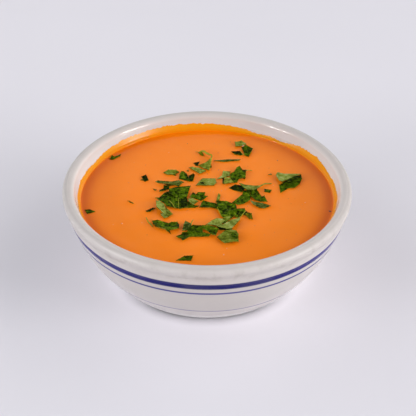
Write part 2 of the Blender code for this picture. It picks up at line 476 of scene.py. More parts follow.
def new_group(name, inputs, output):
    """An empty shader node group with number or vector inputs and one number output."""
    group = bpy.data.node_groups.new(name, "ShaderNodeTree")
    for label, kind in inputs:
        group.interface.new_socket(label, in_out="INPUT", socket_type=kind)
    group.interface.new_socket(output, in_out="OUTPUT", socket_type="NodeSocketFloat")
    nodes = Nodes(group)
    return group, nodes, nodes.add("NodeGroupInput"), nodes.add("NodeGroupOutput")


def shared_group(name, make):
    return bpy.data.node_groups.get(name) or make(name)


def mottle_group(name="Mottle"):
    """Soft-edged patches: 0 where the noise is under Low, 1 where it is over High."""
    group, nodes, given, result = new_group(
        name,
        (("Vector", "NodeSocketVector"), ("Scale", "NodeSocketFloat"), ("Low", "NodeSocketFloat"),
         ("High", "NodeSocketFloat")),
        "Mask",
    )
    cloud = nodes.noise(given.outputs["Vector"], given.outputs["Scale"], detail=4.0, roughness=0.55)
    nodes.feed(result.inputs[0], nodes.fade(cloud, given.outputs["Low"], given.outputs["High"]))
    return group


def band_group(name="Painted Band"):
    """A brushed band: 1 within Half Width of Middle, fading over Softness."""
    group, nodes, given, result = new_group(
        name,
        (("Height", "NodeSocketFloat"), ("Middle", "NodeSocketFloat"), ("Half Width", "NodeSocketFloat"),
         ("Softness", "NodeSocketFloat")),
        "Mask",
    )
    away = nodes.math("ABSOLUTE", nodes.math("SUBTRACT", given.outputs["Height"], given.outputs["Middle"]))
    inner = nodes.math("SUBTRACT", given.outputs["Half Width"], given.outputs["Softness"])
    outer = nodes.total(given.outputs["Half Width"], given.outputs["Softness"])
    nodes.feed(result.inputs[0], nodes.fade(away, inner, outer, 1.0, 0.0))
    return group


VEIN_WANDER_SCALE = 3.0
VEIN_WANDER = 0.12           # cm, how far the veins stray
MIDRIB_WIDTH = 1.4           # of a side vein's width
VEIN_LEAN = 0.9              # cm forward for each cm away from the midrib
SIDE_VEIN_STRENGTH = 0.7     # of the midrib's


def vein_group(name="Leaf Veins"):
    """A midrib along the vector's x with side veins that lean forward from it, all in centimetres."""
    group, nodes, given, result = new_group(
        name,
        (("Vector", "NodeSocketVector"), ("Spacing", "NodeSocketFloat"), ("Width", "NodeSocketFloat")),
        "Mask",
    )
    along, sideways, _ = nodes.split(given.outputs["Vector"])
    width, spacing = given.outputs["Width"], given.outputs["Spacing"]
    wander = nodes.noise(given.outputs["Vector"], VEIN_WANDER_SCALE)
    wander = nodes.product(nodes.math("SUBTRACT", wander, 0.5), VEIN_WANDER)
    across = nodes.math("ABSOLUTE", nodes.total(sideways, wander))
    midrib = nodes.fade(across, 0.0, nodes.product(width, MIDRIB_WIDTH), 1.0, 0.0)
    run = nodes.math("SUBTRACT", along, nodes.product(across, VEIN_LEAN))
    run = nodes.total(nodes.math("DIVIDE", run, spacing), wander)
    ridge = nodes.math("ABSOLUTE", nodes.math("SUBTRACT", nodes.math("FRACT", run), 0.5))
    side = nodes.fade(nodes.product(ridge, spacing), 0.0, width, SIDE_VEIN_STRENGTH, 0.0)
    nodes.feed(result.inputs[0], nodes.math("MAXIMUM", midrib, side))
    return group


# ---------------------------------------------------------------- the bowl

CORNER_START = 0.4       # share of the wall's height where the floor's round corner starts
CORNER_STEPS = 8
CREST_STEPS = 22
HOLLOW_PULL = 0.8        # how full the hollow under the rim is, of the crest's height
FOOT_EASE = 0.25 * MM    # softened edges of the foot
FOOT_HOLLOW = ((0.4, 0.8), (0.8, 1.0))   # way in and up of the hollow inside the foot, of its depth


def bowl_outer_wall(bowl, count):
    top = (bowl.neck_radius, BOWL_HEIGHT - bowl.neck_drop)
    bottom = (bowl.foot_radius + bowl.foot_setback, bowl.foot_height)
    return curve_points(
        top,
        leaning(top, bowl.wall_top_angle, -bowl.wall_top_reach),
        leaning(bottom, bowl.wall_foot_angle, bowl.wall_foot_reach),
        bottom,
        count,
    )


def bowl_inner_wall(bowl, count):
    """The inside, from the edge of its flat floor up to just below the rim."""
    climbing = list(reversed(bowl_outer_wall(bowl, count)))
    inside = offset_left(climbing, bowl.wall_thickness)
    start = round(count * CORNER_START)
    upper = inside[start:]
    floor_height = bowl.foot_recess + bowl.floor_thickness
    floor_edge = (bowl.floor_radius, floor_height)
    before, after = inside[start - 1], inside[start + 1]
    rise = math.atan2(after[0] - before[0], after[1] - before[1])
    pull = (upper[0][0] - floor_edge[0]) / 2
    corner = curve_points(
        floor_edge,
        (floor_edge[0] + pull, floor_height),
        leaning(upper[0], rise, -pull / 2),
        upper[0],
        CORNER_STEPS,
    )
    return corner[:-1] + upper


def bowl_rim(bowl):
    """The rolled rim from the inner wall over the crest to the neck."""
    middle = (RIM_RADIUS - bowl.rim_thickness / 2, BOWL_HEIGHT - bowl.rim_crest)
    half = (bowl.rim_thickness / 2, bowl.rim_crest)
    crest = ellipse_points(middle, half, 180.0, 0.0, CREST_STEPS)
    neck = (bowl.neck_radius, BOWL_HEIGHT - bowl.neck_drop)
    hollow = curve_points(
        crest[-1],
        (crest[-1][0], crest[-1][1] - half[1] * HOLLOW_PULL),
        (neck[0], neck[1] + half[1] * HOLLOW_PULL),
        neck,
        CORNER_STEPS,
    )
    return crest + hollow[1:-1]


def bowl_foot(bowl):
    """The bare ring with its softened edges, and the hollow inside it."""
    outside = bowl.foot_radius
    inside = outside - bowl.foot_width
    recess = bowl.foot_recess
    return [
        (outside, bowl.foot_height),
        (outside, FOOT_EASE),
        (outside - FOOT_EASE, 0.0),
        (inside + FOOT_EASE, 0.0),
        (inside, FOOT_EASE),
        *((inside - recess * inwards, recess * up) for inwards, up in FOOT_HOLLOW),
        (inside / 2, recess),
        (AXIS_GAP, recess),
    ]


# Fades are (start, end) pairs of heights above the table or of distances from the axis.
BAND_WAVER = 0.9 * MM                        # how far the brush strays up and down
STROKE_EDGES = (0.38 * MM, 0.28 * MM, 0.32 * MM)    # softness of the thick, thin and low lines
THIN_INK, LOW_INK = 0.98, 0.66               # how well the thin lines cover
INNER_WALL_LEAN = 0.75                       # more than the inner wall leans, less than the outer wall
SHOULDER = (4.6 * MM, 3.2 * MM, 2.6 * MM)    # stained strip: drop below the rim, half width, softness
STAIN_SHARE, TINT_SHARE, SPECK_SHARE = 0.5, 0.10, 0.6
SPECK = (0.10, 0.075, 0.06)
# Painted shade in the glaze: under the rolled rim, more to the left and right; on the wall below it, more at
# the front; and at the back of the rim.
ROUNDING_RADIUS = (-1.2 * MM, 0.2 * MM)      # painted shade under the rolled rim, outwards from the neck
SHOULDER_HEIGHT = (41.5 * MM, 43.5 * MM)
ROUNDING_SHARE, ROUNDING_SIDE_SHARE = 0.14, 0.05
WALL_SHADE_HEIGHT = (6.0 * MM, 12.0 * MM)        # painted shade on the wall under the shoulder, stronger at the front
WALL_SHADE_SHARE, WALL_SHADE_FRONT_SHARE = 0.03, 0.14
# Painted shade at the back of the rim.
BACK_RIM_HEIGHT = (46.0 * MM, 48.0 * MM)
BACK_RIM_SHARE = 0.07
# Painted light on the wall near the foot, from the table.
NEAR_FOOT_HEIGHT = (3.5 * MM, 10.5 * MM)
ABOVE_SOUP_DROP = (3.4 * MM, 1.2 * MM)       # drop below the rim where the painted cool tint fades out
ABOVE_SOUP_SHARE = 0.25
DULL_RIM_RADIUS = (71.8 * MM, 72.6 * MM)     # the rim is duller outside of its crest
GLOSS, DULL_RIM, BARE_CLAY = (0.05, 0.09), 0.40, 0.85


def glaze_strokes(nodes, place, height, bowl):
    """Masks of the thick band and of the two thinner lines, brushed by an unsteady hand."""
    band = shared_group("Painted Band", band_group)
    hand = nodes.math("SUBTRACT", nodes.noise(place, 22.0), 0.5)
    wavering = nodes.total(height, nodes.product(hand, BAND_WAVER))
    strokes = ((bowl.band_height, bowl.band_width), (bowl.line_height, bowl.line_width),
               (bowl.low_line_height, bowl.low_line_width))
    thick, thin, low = [
        nodes.group(band, height=wavering, middle=middle, half_width=width / 2, softness=edge)
        for (middle, width), edge in zip(strokes, STROKE_EDGES)
    ]
    return thick, nodes.math("MAXIMUM", nodes.product(thin, THIN_INK), nodes.product(low, LOW_INK))


def glaze_painted_shade(nodes, x, y, height, radius, outside, bowl):
    """Painted shade: how much darker the glaze is painted under the rolled rim, on the wall below it and at
    the back of the rim.
    """
    aside = nodes.math("DIVIDE", nodes.math("ABSOLUTE", x), RIM_RADIUS)
    ahead = nodes.math("DIVIDE", nodes.math("MAXIMUM", nodes.product(y, -1.0), 0.0), RIM_RADIUS)
    inner, outer = (bowl.neck_radius + reach for reach in ROUNDING_RADIUS)
    rim_underside_shade = nodes.product(
        nodes.fade(radius, inner, outer),
        nodes.fade(height, *SHOULDER_HEIGHT),
        nodes.total(ROUNDING_SHARE, nodes.product(nodes.math("POWER", aside, 3.0), ROUNDING_SIDE_SHARE)),
    )
    wall_front_shade = nodes.product(
        nodes.fade(height, *WALL_SHADE_HEIGHT),
        nodes.fade(height, *SHOULDER_HEIGHT, 1.0, 0.0),
        nodes.total(WALL_SHADE_SHARE, nodes.product(ahead, WALL_SHADE_FRONT_SHARE)),
        outside,
    )
    back_rim_shade = nodes.product(
        nodes.fade(y, 0.0, RIM_RADIUS, 0.0, BACK_RIM_SHARE),
        nodes.fade(height, *BACK_RIM_HEIGHT),
    )
    return nodes.total(rim_underside_shade, wall_front_shade, back_rim_shade), aside


def glaze_material(bowl):
    """White stoneware glaze with brushed blue bands, stains on the rim, specks and a bare foot, and painted
    light and shade.
    """
    material, nodes, shader, place = new_material("banded_glaze")
    band = shared_group("Painted Band", band_group)
    x, y, height = nodes.split(place)
    radius = nodes.radius(x, y)

    thick, wash = glaze_strokes(nodes, place, height, bowl)
    wall_lean = nodes.product(nodes.math("SUBTRACT", BOWL_HEIGHT, height), INNER_WALL_LEAN)
    outside = nodes.math("GREATER_THAN", nodes.total(radius, wall_lean), RIM_RADIUS - bowl.rim_thickness / 2)
    load = nodes.product(nodes.fade(nodes.noise(place, 70.0, detail=4.0), 0.3, 0.62, 0.95, 1.0), outside)

    drop, half_width, softness = SHOULDER
    shoulder = nodes.group(band, height=height, middle=BOWL_HEIGHT - drop, half_width=half_width,
                           softness=softness)
    cloud = nodes.patches(place, 160.0, 0.46, 0.72)
    stain = nodes.product(cloud, shoulder, outside, STAIN_SHARE)
    tint = nodes.patches(place, 45.0, 0.35, 0.75)
    speck = nodes.patches(place, 900.0, 0.735, 0.77)
    bare = nodes.math("LESS_THAN", height, bowl.bare_height)
    shade, aside = glaze_painted_shade(nodes, x, y, height, radius, outside, bowl)
    # painted light from the table, low on the outside wall
    foot_light_mask = nodes.product(nodes.fade(height, *NEAR_FOOT_HEIGHT, 1.0, 0.0), outside)
    low_drop, high_drop = ABOVE_SOUP_DROP
    # painted cool tint on the inner wall, against the soup's orange light
    above_soup = nodes.product(
        nodes.math("SUBTRACT", 1.0, outside),
        nodes.fade(height, BOWL_HEIGHT - low_drop, BOWL_HEIGHT - high_drop, 1.0, 0.0),
    )
    # band bluer at the sides, painted against the sheen there
    cobalt = nodes.mix(nodes.math("POWER", aside, 2.0), bowl.band_colour, bowl.side_band_painted_colour)

    colour = nodes.layers(
        bowl.glaze,
        (nodes.product(tint, TINT_SHARE), bowl.stain),
        (nodes.product(above_soup, ABOVE_SOUP_SHARE), bowl.inner_painted_cool_light),
        (foot_light_mask, bowl.foot_painted_light),
        # painted shade under the rim, on the wall below it and at the back of the rim
        (shade, BLACK),
        (stain, bowl.stain),
        (nodes.product(speck, SPECK_SHARE), SPECK),
        (nodes.product(wash, load), bowl.line_colour),
        (nodes.product(thick, load), cobalt),
        # bare clay, painted near-black as the contact shadow
        (bare, bowl.clay),
    )

    gloss = nodes.fade(nodes.noise(place, 110.0, detail=3.0), 0.3, 0.7, *GLOSS)
    dull = nodes.product(nodes.fade(radius, *DULL_RIM_RADIUS), DULL_RIM)
    roughness = nodes.math("MAXIMUM", nodes.total(gloss, dull), nodes.product(bare, BARE_CLAY))
    throwing = nodes.bump(nodes.noise(place, 38.0), 0.25 * MM, 0.5)
    orange_peel = nodes.bump(nodes.noise(place, 420.0), 0.02 * MM, 0.5, throwing)
    nodes.surface(shader, colour, roughness, orange_peel, ior=1.33, specular=0.35)
    return material


class SOUPBOWL_OT_bowl(bpy.types.Operator):
    """Throw the stoneware bowl and glaze it"""
    bl_idname = "soupbowl.bowl"
    bl_label = "Bowl"

    def execute(self, context):
        bowl = context.scene.soup_bowl
        inside = bowl_inner_wall(bowl, WALL_STEPS)
        floor_height = inside[0][1]
        floor = [(AXIS_GAP, floor_height), (bowl.floor_radius / 2, floor_height)]
        profile = floor + inside + bowl_rim(bowl) + bowl_outer_wall(bowl, WALL_STEPS) + bowl_foot(bowl)
        piece = throw_on_wheel("stoneware_bowl", profile, bowl.sides)
        finish_piece(piece, ["bowl"], [glaze_material(bowl)])
        return {"FINISHED"}


# ---------------------------------------------------------------- the soup

def soup_edge(soup, bowl):
    """The soup's inner wall, and how far out the top of its meniscus lies."""
    wall = [(r + soup.into_wall, z) for r, z in bowl_inner_wall(bowl, WALL_STEPS)]
    return wall, radius_at(wall, SOUP_LEVEL + MENISCUS_RISE)


def soup_profile(soup, bowl):
    """From the middle of the surface over the meniscus and down inside the wall to the floor."""
    wall, edge = soup_edge(soup, bowl)
    flat = edge - soup.meniscus_width
    start = 0.6 * AXIS_GAP
    surface = [(start + (flat - start) * ring / soup.rings, SOUP_LEVEL) for ring in range(soup.rings)]
    tail = math.exp(-soup.meniscus_width / soup.meniscus_fade)
    meniscus = []
    for step in range(MENISCUS_STEPS + 1):
        gap = soup.meniscus_width * (1.0 - step / MENISCUS_STEPS) ** MENISCUS_CROWDING
        climb = (math.exp(-gap / soup.meniscus_fade) - tail) / (1.0 - tail)
        meniscus.append((edge - gap, SOUP_LEVEL + MENISCUS_RISE * climb))
    below = [point for point in reversed(wall) if point[1] < SOUP_LEVEL - MENISCUS_RISE]
    return surface + meniscus + below + [(AXIS_GAP, wall[0][1])]


def distance_to_leaves(points):
    """How far each x, y point lies from the nearest leaf, or 0 under a leaf."""
    nearest = np.full(len(points), 1.0)
    for blade in BLADES:
        gap, _, inside = gap_to_outline(points, np.array(blade.corners) * MM)
        gap[inside] = 0.0
        nearest = np.minimum(nearest, gap)
    return nearest


SWELLS = ((1.0, 45.0, 0.0), (0.5, 120.0, 0.3))   # strength, pitch and height in the noise of each swell
STILL_RING = (0.062, 0.006)      # no swells outside of this radius, full swells this far inside it
LEAF_CLIMB = (0.12 * MM, 0.9 * MM)           # height and reach of the soup's climb at a leaf
LEAF_SHADE_OFFSET, LEAF_SHADE_REACH = 2.2 * MM, 1.8 * MM   # painted shade lies in front of the leaves
SIDE_SHADE_POWER = 1.3
BACK_SHADE_REACH, FRONT_LIGHT_REACH = 6.5 * MM, 14.0 * MM
BACK_SHADE_TURN, FRONT_LIGHT_TURN = 0.45, 1.2      # how far round the bowl the painted back shade and front light run


def swell_surface(mesh, soup, bowl):
    """Gives the flat surface slow swells and a climb at the leaves, and paints the masks of its painted shade
    and light.
    """
    rows = positions(mesh)
    radius = np.hypot(rows[:, 0], rows[:, 1])
    top = rows[:, 2] > SOUP_LEVEL - 0.01 * MM
    swell = np.array([
        sum(share * noise.noise(Vector((x, y, z)) * pitch) for share, pitch, z in SWELLS)
        for x, y in rows[:, :2]
    ])
    edge, run = STILL_RING
    loose = np.clip((edge - radius) / run, 0.0, 1.0)
    climb, reach = LEAF_CLIMB
    near = distance_to_leaves(rows[:, :2])
    rows[top, 2] += (swell * soup.ripple * loose + climb * np.exp(-near / reach) * loose)[top]
    set_positions(mesh, rows)
    behind = distance_to_leaves(rows[:, :2] + np.array([0.0, LEAF_SHADE_OFFSET]))
    inwards = soup_edge(soup, bowl)[1] - radius
    gap = inwards / soup.shade_gap
    ring = np.clip(gap, 0.0, None) ** 2 * np.exp(2.0 * (1.0 - gap))
    heading = rows[:, 1] / np.maximum(radius, MM)
    for name, values in (
        # painted shade in front of the leaves
        ("painted_leaf_shade", np.exp(-behind / LEAF_SHADE_REACH)),
        ("side_shade", np.clip(ring * (np.abs(rows[:, 0]) / radius) ** SIDE_SHADE_POWER, 0.0, 1.0)),
        # painted shade along the back and sides
        ("painted_back_shade",
         np.exp(-(inwards / BACK_SHADE_REACH) ** 2) * np.clip(BACK_SHADE_TURN + heading, 0.0, 1.0)),
        # painted light along the front
        ("painted_front_light",
         np.exp(-(inwards / FRONT_LIGHT_REACH) ** 2) * np.clip(-FRONT_LIGHT_TURN * heading, 0.0, 1.0) ** 2),
    ):
        paint_attribute(mesh, name, values * top)


GRAIN = (0.90, 0.29, 0.05)       # paler grain of the soup
CLOUD_SHARE, GRAIN_SHARE, LEAF_SHADE_SHARE, FLECK_SHARE = 0.35, 0.10, 0.9, 0.45


def soup_material(soup):
    """Cream of tomato: a smooth orange with faint clouds and flecks of skin, with painted shade by the
    leaves, along the back and the sides, and painted light along the front.
    """
    material, nodes, shader, place = new_material("tomato_cream")
    cloud = nodes.patches(place, 55.0, 0.35, 0.7)
    grain = nodes.patches(place, 420.0, 0.4, 0.75)
    fleck = nodes.patches(place, 620.0, 0.70, 0.74)
    patch = nodes.patches(place, 130.0, 0.36, 0.6)
    colour = nodes.layers(
        soup.soup,
        (nodes.product(cloud, CLOUD_SHARE), soup.deep),
        (nodes.product(grain, GRAIN_SHARE), GRAIN),
        # painted shade in front of the leaves
        (nodes.product(nodes.painted("painted_leaf_shade"), patch, LEAF_SHADE_SHARE), soup.deep),
        (nodes.product(fleck, FLECK_SHARE), soup.fleck),
        # painted shade along the back and sides
        (nodes.painted("painted_back_shade"), soup.painted_back_shade),
        # painted light along the front
        (nodes.painted("painted_front_light"), soup.painted_front_light),
        (nodes.painted("side_shade"), soup.shaded),
    )
    roughness = nodes.fade(nodes.noise(place, 90.0), 0.3, 0.7, 0.10, 0.15)
    fine = nodes.bump(nodes.noise(place, 500.0, detail=3.0), 0.04 * MM, 0.5)
    nodes.surface(shader, colour, roughness, fine, ior=1.33, specular=0.42)
    return material


class SOUPBOWL_OT_soup(bpy.types.Operator):
    """Fill the bowl with soup"""
    bl_idname = "soupbowl.soup"
    bl_label = "Soup"

    def execute(self, context):
        soup, bowl = context.scene.soup_fill, context.scene.soup_bowl
        piece = throw_on_wheel("tomato_soup_surface", soup_profile(soup, bowl), bowl.sides)
        swell_surface(piece.data, soup, bowl)
        finish_piece(piece, ["soup"], [soup_material(soup)])
        return {"FINISHED"}


# Drop of the film's ragged edge below the rim's crest (mm), at headings round the bowl (degrees from
# the right).
FILM_EDGE = (
    (0, 5.5), (15, 6.0), (30, 5.0), (42, 5.5), (50, 7.0), (65, 7.0), (85, 5.0), (110, 4.5), (135, 5.0),
    (155, 6.5), (170, 6.0), (270, 6.5), (360, 5.5),
)

# Depth (mm) and pitch of the waves in the film's edge, from slow runs to fine teeth.
FILM_RAGS = ((0.55, 9.0), (0.45, 40.0), (0.40, 62.0), (0.25, 110.0))

FILM_ROWS = 20
FILM_STEP = 0.2 * MM             # height of a row before the film is drawn up to its edge
FILM_CROWDING = 1.4              # above 1, its rows lie closer together at the soup
FILM_BEHIND = 0.25 * MM          # how far the film reaches into the wall
FILM_EDGE_THICKNESS = 0.04 * MM
FILLET_TOP = 0.7                 # of the meniscus's rise; the fillet thins out above it
RIM_STEPS_COATED = 8
STREAK = (0.69, 0.272, 0.001)    # more yellow streaks of the film
STREAK_SHARE = 0.25


def film_edge_height(angle):
    """Height of the film's edge at an angle, with runs and drips of different lengths."""
    degrees = math.degrees(angle) % 360.0
    drop = float(np.interp(degrees, [d for d, _ in FILM_EDGE], [d for _, d in FILM_EDGE]))
    ring = Vector((math.cos(angle), math.sin(angle), 0.0))
    ragged = sum(depth * noise.noise(ring * pitch) for depth, pitch in FILM_RAGS)
    return BOWL_HEIGHT - (drop - ragged) * MM


def film_material(soup):
    """A thin wet film of soup: brighter and more yellow than the soup, thinner towards its edge."""
    material, nodes, shader, place = new_material("soup_film")
    thin = nodes.painted("climb")
    streak = nodes.patches(place, 260.0, 0.35, 0.7)
    colour = nodes.layers(soup.film_foot, (nodes.fade(thin, 0.15, 0.9), soup.film),
                          (nodes.product(streak, STREAK_SHARE), STREAK))
    roughness = nodes.fade(thin, 0.50, 0.70, 0.06, 0.32)
    normal = nodes.bump(nodes.noise(place, 300.0), 0.08 * MM, 0.6)
    nodes.surface(shader, colour, roughness, normal, ior=1.33, specular=0.16)
    return material


class SOUPBOWL_OT_film(bpy.types.Operator):
    """Coat the wall above the soup with the film that the soup left when it was poured"""
    bl_idname = "soupbowl.film"
    bl_label = "Film on the wall"

    def execute(self, context):
        soup, bowl = context.scene.soup_fill, context.scene.soup_bowl
        wall = bowl_inner_wall(bowl, WALL_STEPS) + bowl_rim(bowl)[:RIM_STEPS_COATED]
        bottom = SOUP_LEVEL - FILM_STEP
        middle = radius_at(wall, bottom)
        front = [(middle - soup.skin, bottom + step * FILM_STEP) for step in range(FILM_ROWS + 1)]
        back = [(r + 2 * soup.skin, z) for r, z in reversed(front)]
        piece = throw_on_wheel("soup_film", front + back + [front[0]], bowl.sides * 3, closed=False)
        mesh = piece.data
        places = positions(mesh)
        climb = (places[:, 2] - bottom) / (front[-1][1] - bottom)
        for index, (x, y, _) in enumerate(places):
            angle = math.atan2(y, x)
            share = min(max(climb[index], 0.0), 1.0) ** FILM_CROWDING
            height = bottom + (film_edge_height(angle) - bottom) * share
            above = max(height - SOUP_LEVEL - FILLET_TOP * MENISCUS_RISE, 0.0)
            thickness = soup.skin * (1.0 - share) + soup.fillet * math.exp(-above / soup.fillet_fade)
            behind = math.hypot(x, y) > middle
            radius = radius_at(wall, height)
            radius += FILM_BEHIND if behind else -thickness - FILM_EDGE_THICKNESS
            places[index] = (radius * math.cos(angle), radius * math.sin(angle), height)
        set_positions(mesh, places)
        paint_attribute(mesh, "climb", climb)
        weld(piece, 0.001 * MM)
        finish_piece(piece, (), [film_material(soup)])
        return {"FINISHED"}


# ---------------------------------------------------------------- the parsley

# A blade is one flat bit of leaf. piece: the piece that it is joined to; face: the side that shows;
# rest: how high it lies on the soup (mm); lift and lift_to: how far its raised side stands up (mm), and
# the heading of that side (degrees); curl: how far its edges stand above its midrib (mm); rib: heading
# of the midrib (degrees); corners: its outline (mm from the middle of the bowl), only where it turns.
# The corners give the plan that the leaf shows from the front, 34 degrees above the table. A point that
# is raised lies nearer the front than its corner says, by its height times VIEW_SLANT.
VIEW_SLANT = 1.5
LOWEST_LEAF = 0.22       # least height of a leaf above the soup's level, mm
Blade = namedtuple("Blade", "piece face rest lift lift_to curl rib corners")

